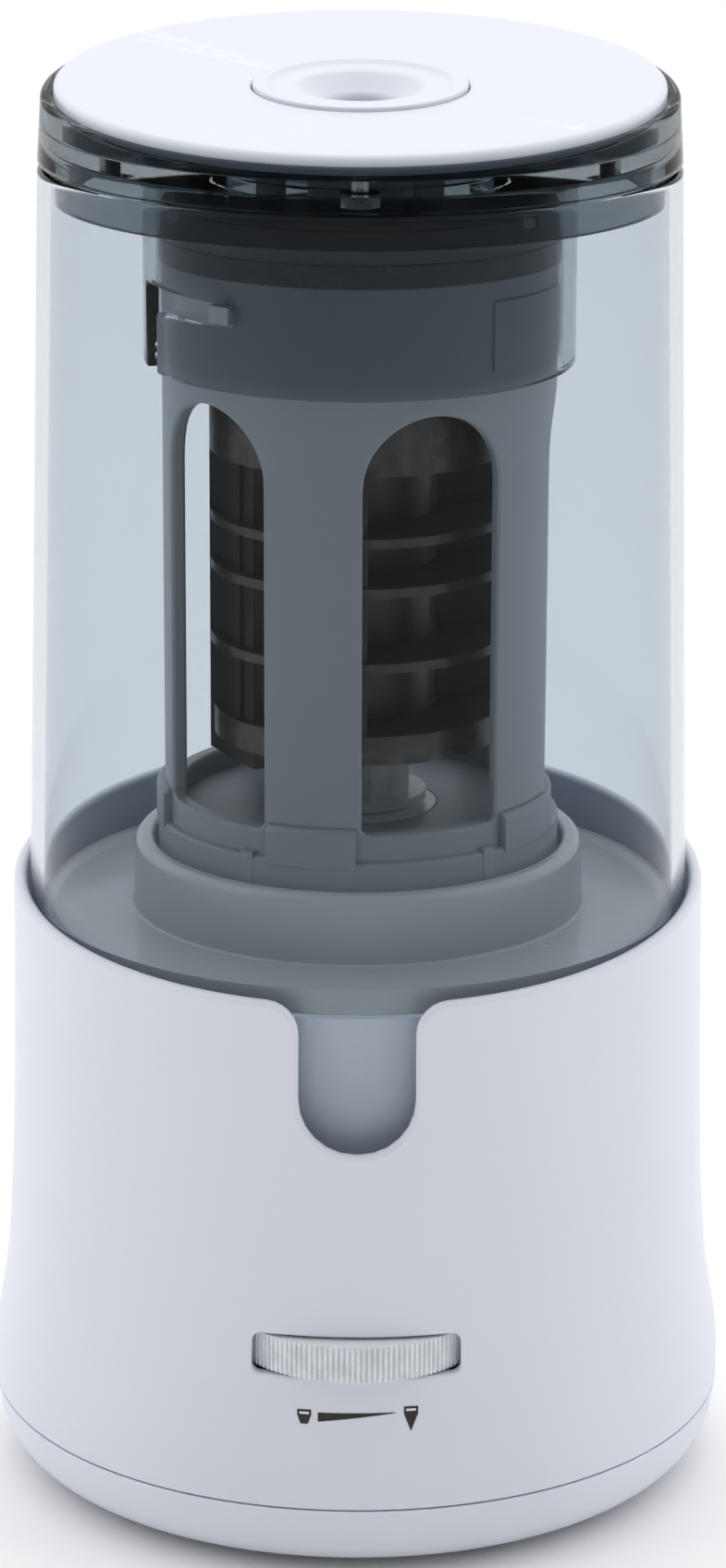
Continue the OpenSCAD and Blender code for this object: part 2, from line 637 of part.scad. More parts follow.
module inner_drum() {
    switch_y = plunger_y - switch_w / 2;
    color([0.86, 0.87, 0.89]) difference() {
        union() {
            translate([0, 0, flange_z]) tube(drum_r, drum_in_r, deck_top - flange_z);
            translate([0, 0, flange_z]) tube(rim_in_r - 0.2, drum_in_r, flange_t);
            translate([0, 0, deck_z]) cylinder(r = drum_in_r + 0.2, h = deck_t);
            for (a = [45, 135, 225, 315]) rotate([0, 0, a]) translate([drum_r - 5, 0, deck_top - eps]) cylinder(r = 2, h = 0.3 + eps);
            translate([lever_x - lever_len, switch_y - 2, lever_z - switch_h - 1]) cube([lever_len, 2, deck_z - lever_z + switch_h + 1 + eps]);
            translate([plunger_x - 4, switch_y - 1, plunger_low + 2]) cube([8, switch_w + 1, 1]);
        }
        translate([0, 0, deck_z - 1]) cylinder(r = dog_r + 2.5, h = deck_t + 3);
        translate([plunger_x, plunger_y, plunger_low]) cylinder(r = plunger_r + run_gap, h = 20, $fn = 48);
        translate([0, motor_y, flange_z - 1]) cylinder(r = motor_r + 0.4, h = frame_z - flange_z + 1.4);
    }
}

module door_outline(grow) {
    square([2 * (door_x + grow), 2 * (door_y + grow)], center = true);
}

module base_bottom() {
    seam_r = rim_r + base_flare;
    foot_in = 6;
    lip_r = seam_r - base_wall - 0.25;
    color([0.88, 0.89, 0.91]) difference() {
        union() {
            rotate_extrude() polygon([[0, cover_z], [seam_r - foot_in, cover_z], [seam_r - foot_in + 2.2, cover_z + 0.7],
                [seam_r - foot_in + 3.8, cover_z + 2], [seam_r - foot_in + 4.9, cover_z + 3.8],
                [seam_r - 0.5, cover_z + 6], [seam_r - 0.15, seam_z - 0.05], [lip_r, seam_z - 0.05], [lip_r, seam_z + 2.4],
                [lip_r - 1.2, seam_z + 2.4], [lip_r - 1.2, cover_top], [0, cover_top]]);
            for (sx = [-1, 1], sy = [-1, 1]) translate([sx * boss_xy, sy * boss_xy, cover_top - eps]) cylinder(r = boss_r, h = seam_z + 2 - cover_top + eps);
            translate([0, dial_y, cover_top - eps]) cylinder(r = 4, h = 8);
            for (sx = [-1, 1]) {
                translate([sx * pin_x, pin_y, cover_top - eps]) cylinder(r = 3, h = 8);
                translate([sx * 11, 29, cover_top - eps]) cylinder(r = 2.4, h = board_z - cover_top + eps);
                translate([sx * 11, 23, cover_top - eps]) cylinder(r = 2.4, h = board_z - cover_top + eps);
            }
        }
        translate([0, door_travel / 2, cover_z - 1]) linear_extrude(door_recess + 1)
            square([2 * door_x + 0.6, 2 * door_y + 0.6 + door_travel], center = true);
        for (sx = [-1, 1]) {
            translate([sx * cell_x, 0.4, 0]) translate([-7, -door_y + 0.4, 0]) cube([14, 2 * door_y, 10]);
            translate([sx * tongue_x - tongue_w / 2 - 0.4, -door_y - 3, cover_z + 0.3]) cube([tongue_w + 0.8, 4, 1.4]);
        }
        for (sx = [-1, 1], sy = [-1, 1]) translate([sx * boss_xy, sy * boss_xy, 0]) {
            cylinder(r = 2.7, h = cover_z + 2, $fn = 48);
            cylinder(r = 1.4, h = 40, $fn = 48);
        }
        translate([0, dial_y, cover_top + 1]) cylinder(r = 2, h = 30, $fn = 48);
        for (sx = [-1, 1]) translate([sx * pin_x, pin_y, cover_top + 1]) cylinder(r = pin_r, h = 30, $fn = 48);
        for (p = foot_xy) translate([p[0], p[1], 0]) cylinder(r = foot_r, h = cover_z + 0.8, $fn = 48);
    }
}

module rubber_feet() {
    color([0.2, 0.2, 0.2]) for (p = foot_xy) translate([p[0], p[1], 0]) {
        cylinder(r1 = foot_r - 0.4, r2 = foot_r, h = 0.4, $fn = 48);
        translate([0, 0, 0.4]) cylinder(r = foot_r, h = cover_z + 0.4, $fn = 48);
    }
}

module housing_screws() {
    color("silver") for (sx = [-1, 1], sy = [-1, 1]) translate([sx * boss_xy, sy * boss_xy, cover_z + 0.4]) difference() {
        union() {
            cylinder(r = 2.4, h = 1.6, $fn = 48);
            cylinder(r = 1.2, h = seam_z + 8, $fn = 48);
        }
        for (c = [0, 90]) rotate([0, 0, c]) translate([-1.5, -0.3, -eps]) cube([3, 0.6, 1]);
    }
}

// ---- power ----
module each_cell() {
    for (sx = [-1, 1], sy = [-1, 1]) translate([sx * cell_x, sy * cell_y, 0]) children();
}

module battery_cells() {
    color([0.25, 0.3, 0.35]) each_cell() {
        translate([0, 0, cell_z]) cylinder(r = cell_r, h = cell_h - 1);
        translate([0, 0, cell_z + cell_h - 1 - eps]) cylinder(r = 2.6, h = 1 + eps, $fn = 48);
    }
}

module battery_cradle() {
    color([0.8, 0.81, 0.83]) translate([0, 0, cover_top]) linear_extrude(36) for (sx = [-1, 1]) difference() {
        for (sy = [-1, 1]) translate([sx * cell_x, sy * cell_y]) circle(r = cell_r + 1.4);
        for (sy = [-1, 1]) translate([sx * cell_x, sy * cell_y]) circle(r = cell_r + 0.2);
        translate([sx * (cell_x - 11), 0]) square([14, 60], center = true);
    }
}

module battery_contacts() {
    top = cell_z + cell_h;
    color([0.8, 0.8, 0.78]) for (sx = [-1, 1]) {
        translate([sx * cell_x - 4, -cell_y - 4, top]) cube([8, 2 * cell_y + 8, 0.5]);
        translate([sx * cell_x - 2, -1.5, top + 0.5 - eps]) cube([4, 3, deck_z - top - 0.5 + eps]);
    }
}

module battery_door() {
    low = cover_z + 0.1;
    color([0.88, 0.89, 0.91]) difference() {
        union() {
            translate([0, 0, low]) linear_extrude(door_t) door_outline(0);
            for (sx = [-1, 1]) translate([sx * tongue_x - tongue_w / 2, -door_y - 2.2, low + 0.5]) cube([tongue_w, 3, 0.7]);
        }
        for (i = [0 : 3]) translate([-7, door_y - 8 + i * 1.6, low - eps]) cube([14, 0.7, 0.6]);
    }
}

module door_springs() {
    low = cover_z + 0.1 + door_t;
    color([0.8, 0.8, 0.78]) {
        for (sx = [-1, 1]) translate([sx * cell_x - 4, -cell_y - 4, low]) cube([8, 2 * cell_y + 4, 0.3]);
        each_cell() for (i = [0 : 3]) translate([0, 0, low + 0.3 + i * 0.7]) rotate_extrude($fn = 32)
            translate([3.4 - i * 0.5, 0.36]) circle(r = 0.37, $fn = 16);
    }
}

module motor_can() {
    color("silver") difference() {
        union() {
            translate([0, motor_y, motor_low_z]) cylinder(r = motor_r, h = motor_h);
            translate([0, motor_y, frame_z - eps]) cylinder(r = 3, h = 1.4);
        }
        translate([0, motor_y, motor_low_z - 1]) cylinder(r = motor_r - 0.8, h = motor_h - 0.6);
        translate([0, motor_y, motor_low_z]) cylinder(r = 1 + run_gap, h = motor_h + 5, $fn = 48);
    }
}

module motor_end_cap() {
    color([0.15, 0.15, 0.17]) difference() {
        union() {
            translate([0, motor_y, motor_low_z - 2]) cylinder(r = motor_r - 0.4, h = 2);
            translate([0, motor_y, motor_low_z - eps]) cylinder(r = motor_r - 0.8, h = 1.5);
            translate([0, motor_y, motor_low_z - 3]) cylinder(r = 3, h = 2);
        }
        translate([0, motor_y, motor_low_z - 1.5]) cylinder(r = 1 + run_gap, h = 6, $fn = 48);
    }
}

module motor_shaft() {
    color("silver") translate([0, motor_y, 0]) {
        translate([0, 0, motor_low_z - 1.2]) cylinder(r = 1, h = big_z + big_t + 2.2 - motor_low_z, $fn = 48);
        translate([0, 0, motor_low_z + 6]) difference() {
            cylinder(r = motor_r - 2.4, h = motor_h - 14);
            for (a = [0, 120, 240]) rotate([0, 0, a]) translate([2.4, -1, -1]) cube([20, 2, motor_h]);
            translate([0, 0, -1]) cylinder(r = 1 - eps, h = motor_h, $fn = 48);
        }
    }
}

module motor_pinion() {
    color([0.85, 0.75, 0.4]) translate([0, motor_y, big_z - 0.8]) linear_extrude(big_t + 1.6) difference() {
        rotate([0, 0, motor_dir + 180 + 180 / motor_teeth]) polygon(gear_points(motor_teeth, motor_mod, 0.9, 1.15, 0.05));
        circle(r = 1, $fn = 48);
    }
}

// ---- gearbox ----
module gear_plate() {
    intersection() {
        circle(r = drum_in_r - 0.6);
        translate([-frame_w, -16]) square([2 * frame_w, 60]);
    }
}

module gearbox_frame() {
    color([0.85, 0.86, 0.84]) difference() {
        union() {
            translate([0, 0, frame_z]) linear_extrude(frame_t) gear_plate();
            translate([0, 0, frame_z - 1.8]) cylinder(r = shaft_r + 2.2, h = 5);
            for (p = pillar_xy) translate([p[0], p[1], frame_top - eps]) cylinder(r = 2.2, h = plate2_z - frame_top + eps);
        }
        translate([0, 0, frame_z - 1.2]) cylinder(r = shaft_r + run_gap, h = 10);
        translate([0, 0, frame_z - 3]) cylinder(r = shaft_bore_r, h = 10);
        translate([0, motor_y, frame_z - 1]) cylinder(r = 3, h = 5);
        translate([idler_x, idler_y, frame_z + 0.4]) cylinder(r = axle_r, h = 5, $fn = 48);
        for (p = pillar_xy) translate([p[0], p[1], plate2_z - 8]) cylinder(r = 0.9, h = 20, $fn = 48);
        for (sx = [-1, 1]) translate([sx * 6.2, motor_y, frame_z - 1]) cylinder(r = 1, h = 5, $fn = 48);
    }
}

module gearbox_cover() {
    color([0.85, 0.86, 0.84]) difference() {
        union() {
            translate([0, 0, plate2_z]) linear_extrude(plate2_t) gear_plate();
            for (p = [[-12, 10], [12.5, -2], [-12, -4]]) translate([p[0], p[1], plate2_top - eps]) cylinder(r = 2.6, h = deck_z - plate2_top + eps);
        }
        translate([0, 0, plate2_z - 1]) cylinder(r = shaft_r + 2.2, h = 5);
        translate([idler_x, idler_y, plate2_z - 1]) cylinder(r = axle_r, h = plate2_t, $fn = 48);
        for (p = pillar_xy) translate([p[0], p[1], plate2_z - 1]) cylinder(r = 0.9, h = 20, $fn = 48);
    }
}

module gearbox_screws() {
    color("silver") {
        for (p = pillar_xy) translate([p[0], p[1], 0]) difference() {
            union() {
                translate([0, 0, plate2_top]) cylinder(r = 1.8, h = 1.4, $fn = 48);
                translate([0, 0, plate2_z - 7]) cylinder(r = 0.9, h = plate2_t + 7.5, $fn = 48);
            }
            for (c = [0, 90]) rotate([0, 0, c]) translate([-1.1, -0.2, plate2_top + 0.7]) cube([2.2, 0.4, 1]);
        }
        for (sx = [-1, 1]) translate([sx * 6.2, motor_y, 0]) {
            translate([0, 0, frame_top]) cylinder(r = 1.7, h = 1, $fn = 48);
            translate([0, 0, frame_z]) cylinder(r = 1, h = frame_t + 0.5, $fn = 48);
        }
    }
}

module idler_axle() {
    color("silver") translate([idler_x, idler_y, frame_z + 0.4]) cylinder(r = axle_r, h = plate2_z + plate2_t - 1 - frame_z - 0.4, $fn = 48);
}

module idler_gear() {
    color([0.92, 0.9, 0.82]) translate([idler_x, idler_y, 0]) difference() {
        union() {
            translate([0, 0, big_z]) linear_extrude(big_t) rotate([0, 0, motor_dir]) polygon(gear_points(big_teeth, motor_mod, 0.9, 1.15, 0.05));
            translate([0, 0, big_z + big_t - eps]) linear_extrude(out_z + out_t + 0.6 - big_z - big_t)
                rotate([0, 0, idler_dir + 180 + 180 / small_teeth]) polygon(gear_points(small_teeth, out_mod, 0.9, 1.15, 0.06));
            translate([0, 0, big_z - 1.2]) cylinder(r = axle_r + 1.3, h = 1.3);
        }
        translate([0, 0, big_z - 3]) cylinder(r = axle_r + run_gap, h = 30, $fn = 48);
    }
}

module output_gear() {
    color([0.92, 0.9, 0.82]) difference() {
        union() {
            translate([0, 0, out_z]) linear_extrude(out_t) rotate([0, 0, idler_dir]) polygon(gear_points(out_teeth, out_mod, 0.9, 1.15, 0.06));
            translate([0, 0, out_z - 1]) cylinder(r = shaft_r + 1.6, h = out_t + 2);
        }
        translate([0, 0, out_z - 3]) cylinder(r = shaft_r, h = 30);
        for (a = [0 : 60 : 300]) rotate([0, 0, a]) translate([out_pitch_r * 0.6, 0, out_z - 1]) cylinder(r = 1.8, h = 10, $fn = 48);
    }
}

module output_shaft() {
    color([0.7, 0.71, 0.73]) difference() {
        union() {
            translate([0, 0, frame_z - 1]) cylinder(r = shaft_r, h = dog_z - frame_z + 1 + eps);
            translate([0, 0, dog_z]) cylinder(r = dog_r, h = dog_disc_t);
            translate([0, 0, dog_z + dog_disc_t - eps]) linear_extrude(dog_lug_h) intersection() {
                ring2d(dog_r - 0.5, shaft_r + 0.4);
                for (t = [0, 180]) wedge2d(t - dog_deg / 2, t + dog_deg / 2, 20);
            }
        }
        cylinder(r = shaft_bore_r, h = far);
    }
}

module output_bush() {
    color([0.75, 0.62, 0.35]) translate([0, 0, plate2_z]) difference() {
        union() {
            cylinder(r = shaft_r + 2.2, h = plate2_t + 0.4);
            translate([0, 0, plate2_t]) cylinder(r = shaft_r + 3.4, h = 0.8);
        }
        translate([0, 0, -1]) cylinder(r = shaft_r + run_gap, h = 10);
    }
}

// ---- point dial and stop rod ----
module dial_axle() {
    color("silver") translate([0, dial_y, cover_top + 1]) cylinder(r = 2, h = axle_top_z - cover_top - 1, $fn = 48);
}

module thumb_dial() {
    rib = 0.3;
    color([0.93, 0.94, 0.95]) translate([0, dial_y, 0]) difference() {
        union() {
            translate([0, 0, dial_low_z]) linear_extrude(dial_t) polygon([for (i = [0 : dial_ribs - 1]) each [
                turned([dial_r, 0], (i + 0.2) * 360 / dial_ribs), turned([dial_r, 0], (i + 0.55) * 360 / dial_ribs),
                turned([dial_r - rib, 0], (i + 0.75) * 360 / dial_ribs), turned([dial_r - rib, 0], (i + 1) * 360 / dial_ribs)]]);
            translate([0, 0, dial_top_z - eps]) cylinder(r = hub_r - 0.5, h = arm_t + 3.5);
            for (i = [0 : 3]) translate([0, 0, dial_top_z + 1 + i * 2]) cylinder(r = hub_r, h = 0.9);
            translate([0, 0, dial_low_z - 1.2]) cylinder(r = 3.6, h = 1.3);
        }
        translate([0, 0, dial_low_z - 2]) cylinder(r = 2 + run_gap, h = 40, $fn = 48);
        for (a = [20 : 40 : 340]) rotate([0, 0, a]) translate([9.4, 0, dial_low_z - 1]) cylinder(r = 2.2, h = 2.6, $fn = 48);
    }
}

module adjust_arm() {
    color([0.8, 0.82, 0.85]) difference() {
        union() {
            translate([0, dial_y, arm_z]) cylinder(r = hub_r + 2.6, h = arm_t);
            translate([-3.5, dial_y, arm_z]) cube([7, -dial_y, 3]);
            translate([-1, dial_y + 4, arm_z + 3 - eps]) cube([2, -dial_y - 4, 2.4]);
            translate([0, 0, arm_z - 1]) cylinder(r = 4, h = arm_t + 2);
            for (sx = [-1, 1]) translate([sx * pin_x, pin_y, arm_z]) cylinder(r = 3, h = arm_t);
            translate([-pin_x, pin_y - 1.5, arm_z]) cube([2 * pin_x, 3, 3]);
        }
        translate([0, dial_y, arm_z - 2]) cylinder(r = hub_r + part_gap, h = arm_t + 5);
        for (sx = [-1, 1]) translate([sx * pin_x, pin_y, arm_z - 2]) cylinder(r = pin_r + run_gap, h = arm_t + 5, $fn = 48);
        translate([0, 0, arm_z - 0.5]) cylinder(r = rod_r, h = 20, $fn = 48);
    }
}

module guide_pins() {
    color("silver") for (sx = [-1, 1]) translate([sx * pin_x, pin_y, cover_top + 1]) cylinder(r = pin_r, h = arm_z + arm_t + 4 - cover_top - 1, $fn = 48);
}

module stop_rod() {
    color("silver") translate([0, 0, arm_z - 0.5]) cylinder(r = rod_r, h = rod_top_z - arm_z + 0.5, $fn = 48);
}

// ---- interlock ----
module microswitch() {
    color([0.12, 0.12, 0.13]) difference() {
        union() {
            translate([lever_x - lever_len, plunger_y - switch_w / 2, lever_z - 0.8 - switch_h]) cube([lever_len - 3.4, switch_w, switch_h]);
            translate([lever_x - 3.4, plunger_y - switch_w / 2, lever_z - 0.8 - switch_h]) cube([3.4, 1.4, switch_h + 2.2]);
            translate([lever_x - 3.4, plunger_y + switch_w / 2 - 1.4, lever_z - 0.8 - switch_h]) cube([3.4, 1.4, switch_h + 2.2]);
            translate([lever_x - 3.4, plunger_y - switch_w / 2, lever_z - 0.8 - switch_h]) cube([3.4, switch_w, switch_h - 2]);
            for (i = [0 : 2]) translate([lever_x - lever_len + 2 + i * 4, plunger_y - 0.3, lever_z - 4 - switch_h]) cube([1.6, 0.6, 3.4]);
        }
        translate([lever_x - 1.7, plunger_y - 5, lever_z + lever_t / 2]) rotate([-90, 0, 0]) cylinder(r = 0.5 + run_gap, h = 12, $fn = 32);
    }
}

module switch_lever() {
    color("silver") {
        translate([lever_x - lever_len + 0.5, plunger_y - 1.3, lever_z]) cube([lever_len - 2, 2.6, lever_t]);
        translate([lever_x - 1.7, plunger_y - switch_w / 2 + 0.1, lever_z + lever_t / 2]) rotate([-90, 0, 0]) cylinder(r = 0.5, h = switch_w - 0.2, $fn = 32);
    }
}

module interlock_plunger() {
    color([0.9, 0.9, 0.9]) translate([plunger_x, plunger_y, 0]) {
        translate([0, 0, plunger_low]) cylinder(r = plunger_r, h = plunger_top - plunger_low, $fn = 48);
        translate([0, 0, plunger_low + 6.4]) cylinder(r = plunger_r + 0.7, h = 1, $fn = 48);
    }
}

module plunger_spring() {
    color("silver") translate([plunger_x, plunger_y, plunger_low + 3]) for (i = [0 : 3]) translate([0, 0, i * 0.95])
        rotate_extrude($fn = 32) translate([plunger_r + 0.37, 0.27]) circle(r = 0.25, $fn = 12);
}

// ---- electrics ----
module circuit_board() {
    color([0.1, 0.4, 0.25]) difference() {
        translate([-14, 20, board_z]) cube([28, 12, board_t]);
        for (sx = [-1, 1]) translate([sx * 11, 29, board_z - 1]) cylinder(r = 1, h = 5, $fn = 32);
    }
    color([0.15, 0.15, 0.15]) {
        translate([-5, 28, board_z + board_t - eps]) cube([10, 3, 2]);
        translate([7, 21, board_z + board_t - eps]) cube([4, 3, 1.5]);
    }
}

module dc_inlet() {
    color([0.12, 0.12, 0.13]) rotate([0, 0, inlet_dir]) difference() {
        union() {
            translate([rim_r - 11, -inlet_w / 2, inlet_z - 5.5]) cube([9.4, inlet_w, 11]);
            translate([rim_r - 2, 0, inlet_z]) rotate([0, 90, 0]) cylinder(r = inlet_r + 1.5, h = 3.2);
        }
        translate([rim_r - 9, 0, inlet_z]) rotate([0, 90, 0]) cylinder(r = inlet_r, h = 20);
    }
    color("silver") rotate([0, 0, inlet_dir]) translate([rim_r - 9.2, 0, inlet_z]) rotate([0, 90, 0]) cylinder(r = 0.9, h = 8, $fn = 32);
}

module power_leads() {
    low = board_z + board_t;
    color([0.7, 0.1, 0.1]) for (sx = [-1, 1]) translate([sx * 5, motor_y - 3, low]) cylinder(r = 0.6, h = motor_low_z - 2 - low, $fn = 24);
}

lid_plate();
lid_ring();
lid_screws();
pencil_guide();
cutter_cage();
ring_gear();
cage_cap();
cage_screws();
cage_bush();
cutter_carrier();
carrier_hub();
carrier_clip();
cutter_blade();
blade_pinion();
shavings_container();
base_housing();
inner_drum();
base_bottom();
rubber_feet();
housing_screws();
battery_cells();
battery_cradle();
battery_contacts();
battery_door();
door_springs();
motor_can();
motor_end_cap();
motor_shaft();
motor_pinion();
gearbox_frame();
gearbox_cover();
gearbox_screws();
idler_axle();
idler_gear();
output_shaft();
output_gear();
output_bush();
dial_axle();
thumb_dial();
adjust_arm();
guide_pins();
stop_rod();
microswitch();
switch_lever();
interlock_plunger();
plunger_spring();
circuit_board();
dc_inlet();
power_leads();
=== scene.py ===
import math

import bmesh
import bpy
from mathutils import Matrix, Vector
from mathutils.geometry import delaunay_2d_cdt


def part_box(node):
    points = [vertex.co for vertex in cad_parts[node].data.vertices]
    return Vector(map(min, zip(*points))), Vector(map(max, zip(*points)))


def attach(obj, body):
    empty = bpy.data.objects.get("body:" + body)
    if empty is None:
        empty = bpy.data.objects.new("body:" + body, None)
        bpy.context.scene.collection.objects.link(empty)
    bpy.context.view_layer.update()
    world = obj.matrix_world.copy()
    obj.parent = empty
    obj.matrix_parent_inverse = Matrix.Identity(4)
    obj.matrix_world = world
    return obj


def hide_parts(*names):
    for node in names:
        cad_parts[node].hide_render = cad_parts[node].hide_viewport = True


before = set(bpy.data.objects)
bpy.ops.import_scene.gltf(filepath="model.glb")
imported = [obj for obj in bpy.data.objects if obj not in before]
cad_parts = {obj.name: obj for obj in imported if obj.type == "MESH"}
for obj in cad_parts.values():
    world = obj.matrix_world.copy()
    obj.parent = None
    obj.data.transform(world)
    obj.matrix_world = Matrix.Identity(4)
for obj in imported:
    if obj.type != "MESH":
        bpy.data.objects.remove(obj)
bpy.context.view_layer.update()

bl_info = {
    "name": "Pencil Sharpener",
    "version": (1, 0, 0),
    "blender": (4, 5, 0),
    "location": "View3D > Sidebar > Sharpener",
    "description": "Builds the finished look of an upright electric pencil sharpener",
    "category": "Object",
}

MM = 0.001
TURN = 2 * math.pi
ROUND_STEP = math.radians(15)
PLATE_EDGE = 34.8
BOSS_SPOT = 29
CELL_MIDDLE, CELL_HALF_WIDTH = 23.5, 7
CELL_FRONT, CELL_BACK = -15.7, 17.3
SCREW_SPOT, SCREW_WELL = 24, 2.75
INLET_RADIUS = 4.5
LUG_TURN, LUG_HALF_WIDTH = -40, 3.5
LUG_LOW, LUG_HIGH = 141.9, 144.0


# ---------------------------------------------------------------- measures
def node_box(node):
    """Lowest and highest corner of a CAD node in millimetres."""
    low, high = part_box(node)
    return Vector(low) / MM, Vector(high) / MM


base_low, base_high = node_box("base_housing")
shell_low, shell_high = node_box("shavings_container")
ring_low, ring_high = node_box("lid_ring")
cage_low, cage_high = node_box("cutter_cage")
band_low = node_box("ring_gear")[0]
dial_low = node_box("thumb_dial")[0]
plate_high = node_box("lid_plate")[1]
cover_low = node_box("base_bottom")[0]
door_low, door_high = node_box("battery_door")
guide_low = node_box("pencil_guide")[0]


def curve_through(points):
    """Smooth height-to-radius function through (height, radius) points, and its slope."""
    xs = [p[0] for p in points]
    ys = [p[1] for p in points]
    steps = [(ys[i + 1] - ys[i]) / (xs[i + 1] - xs[i]) for i in range(len(xs) - 1)]
    slopes = [steps[0]]
    for before, after in zip(steps, steps[1:]):
        slopes.append(0 if before * after <= 0 else 2 * before * after / (before + after))
    slopes.append(steps[-1])

    def place(x):
        if x <= xs[0]:
            return ys[0], slopes[0]
        if x >= xs[-1]:
            return ys[-1], slopes[-1]
        i = max(k for k in range(len(xs) - 1) if xs[k] <= x)
        h = xs[i + 1] - xs[i]
        t = (x - xs[i]) / h
        value = (
            ys[i] * (2 * t**3 - 3 * t**2 + 1)
            + slopes[i] * h * (t**3 - 2 * t**2 + t)
            + ys[i + 1] * (3 * t**2 - 2 * t**3)
            + slopes[i + 1] * h * (t**3 - t**2)
        )
        slope = (
            ys[i] * (6 * t**2 - 6 * t) / h
            + slopes[i] * (3 * t**2 - 4 * t + 1)
            + ys[i + 1] * (6 * t - 6 * t**2) / h
            + slopes[i + 1] * (3 * t**2 - 2 * t)
        )
        return value, slope

    return place


# ---------------------------------------------------------------- mesh tools
def rounded(corners, closed=True):
    """Outline with rounded corners. Corners are (x, y, radius, tilt); gives (x, y, outward x, outward y, tilt)."""
    made = []
    count = len(corners)
    for i, corner in enumerate(corners):
        x, y, radius, tilt = corner
        p = Vector((x, y))
        first, last = i == 0 and not closed, i == count - 1 and not closed
        back = Vector(corners[i - 1][:2])
        ahead = Vector(corners[(i + 1) % count][:2])
        to = (p - back).normalized()
        on = (ahead - p).normalized()
        if first:
            to = on
        if last:
            on = to
        bend = math.atan2(to.x * on.y - to.y * on.x, to.dot(on))
        if radius <= 0 or abs(bend) < 0.02:
            out = Vector((to.y + on.y, -to.x - on.x)).normalized()
            made.append((x, y, out.x, out.y, tilt))
            continue
        reach = radius * math.tan(abs(bend) / 2)
        room = 0.48 * min((p - back).length, (ahead - p).length)
        if reach > room:
            radius *= room / reach
            reach = room
        side = 1 if bend > 0 else -1
        start = p - to * reach
        centre = start + Vector((-to.y, to.x)) * side * radius
        steps = max(2, math.ceil(abs(bend) / ROUND_STEP))
        arm = start - centre
        for k in range(steps + 1):
            a = bend * k / steps
            spoke = Vector((arm.x * math.cos(a) - arm.y * math.sin(a), arm.x * math.sin(a) + arm.y * math.cos(a)))
            out = spoke.normalized() * side
            made.append((centre.x + spoke.x, centre.y + spoke.y, out.x, out.y, tilt))
    return made


class Shape:
    """Points, shading directions and faces of one closed mesh, in millimetres."""

    def __init__(self):
        self.points, self.outward, self.faces = [], [], []

    def add(self, point, outward):
        self.points.append(point)
        self.outward.append(Vector(outward).normalized())
        return len(self.points) - 1

    def strip(self, one, two, closed):
        count = len(one)
        for i in range(count if closed else count - 1):
            j = (i + 1) % count
            self.faces.append((one[i], one[j], two[j], two[i]))

    def finish(self, name):
        """Turns the shape into an object with its own shading directions."""
        bm = bmesh.new()
        shade = bm.verts.layers.float_vector.new("shade")
        made = []
        for point, outward in zip(self.points, self.outward):
            v = bm.verts.new([c * MM for c in point])
            v[shade] = outward
            made.append(v)
        for corners in self.faces:
            face = bm.faces.new([made[i] for i in corners])
            face.normal_update()
            if face.normal.dot(sum((v[shade] for v in face.verts), Vector())) < 0:
                face.normal_flip()
        bmesh.ops.remove_doubles(bm, verts=bm.verts, dist=2e-6)
        bmesh.ops.dissolve_degenerate(bm, edges=bm.edges, dist=1e-6)
        loose = [v for v in bm.verts if not v.link_faces]
        bmesh.ops.delete(bm, geom=loose, context="VERTS")
        mesh = bpy.data.meshes.new(name)
        outward = [v[shade].normalized() for v in bm.verts]
        bm.verts.layers.float_vector.remove(bm.verts.layers.float_vector["shade"])
        bm.to_mesh(mesh)
        bm.free()
        mesh.shade_smooth()
        mesh.normals_split_custom_set_from_vertices(outward)
        piece = bpy.data.objects.new(name, mesh)
        bpy.context.scene.collection.objects.link(piece)
        return piece


def turned(shape, outline, tilt_slope=0.0, sides=160, centre=(0, 0)):
    """Adds a closed outline of (radius, height) turned round a vertical axis; tilted points follow the lid's slope."""
    rings = []
    for i in range(sides):
        a = TURN * i / sides
        ring = []
        for r, z, nr, nz, tilt in outline:
            y = centre[1] - r * math.cos(a)
            lean = tilt_slope * tilt
            ring.append(
                shape.add(
                    (centre[0] + r * math.sin(a), y, z + lean * y),
                    (nr * math.sin(a), -nr * math.cos(a) - lean * nz, nz),
                )
            )
        rings.append(ring)
    for i in range(sides):
        shape.strip(rings[i], rings[(i + 1) % sides], True)


def lip_steps(lip, wall, count=5):
    """Rounded edge of a wall: (offset from the edge, depth, share of surface, share of edge) in steps."""
    steps = []
    for k in range(count + 1):
        a = math.pi / 2 * k / count
        steps.append((lip * (1 - math.sin(a)), lip * (1 - math.cos(a)), math.cos(a), math.sin(a)))
    for k in range(count + 1):
        a = math.pi / 2 * (count - k) / count
        steps.append((lip * (1 - math.sin(a)), wall - lip * (1 - math.cos(a)), -math.cos(a), math.sin(a)))
    return steps


def refined(path, closed, step):
    """Path with its long straight stretches cut into shorter ones."""
    made = []
    count = len(path)
    for i in range(count if closed else count - 1):
        a, b = Vector(path[i]), Vector(path[(i + 1) % count])
        parts = max(1, math.ceil((b - a).length / step))
        for k in range(parts):
            made.append(tuple(a + (b - a) * k / parts))
    if not closed:
        made.append(tuple(path[-1]))
    return made


def sideways(path, closed, inside):
    """Directions in the sheet, at each point of a path, that point into the material."""
    made = []
    count = len(path)
    for i in range(count):
        back = path[i - 1] if closed or i > 0 else path[i]
        ahead = path[(i + 1) % count] if closed or i < count - 1 else path[i]
        d = (Vector(ahead) - Vector(back)).normalized()
        made.append(Vector((-d.y, d.x)) * inside)
    return made


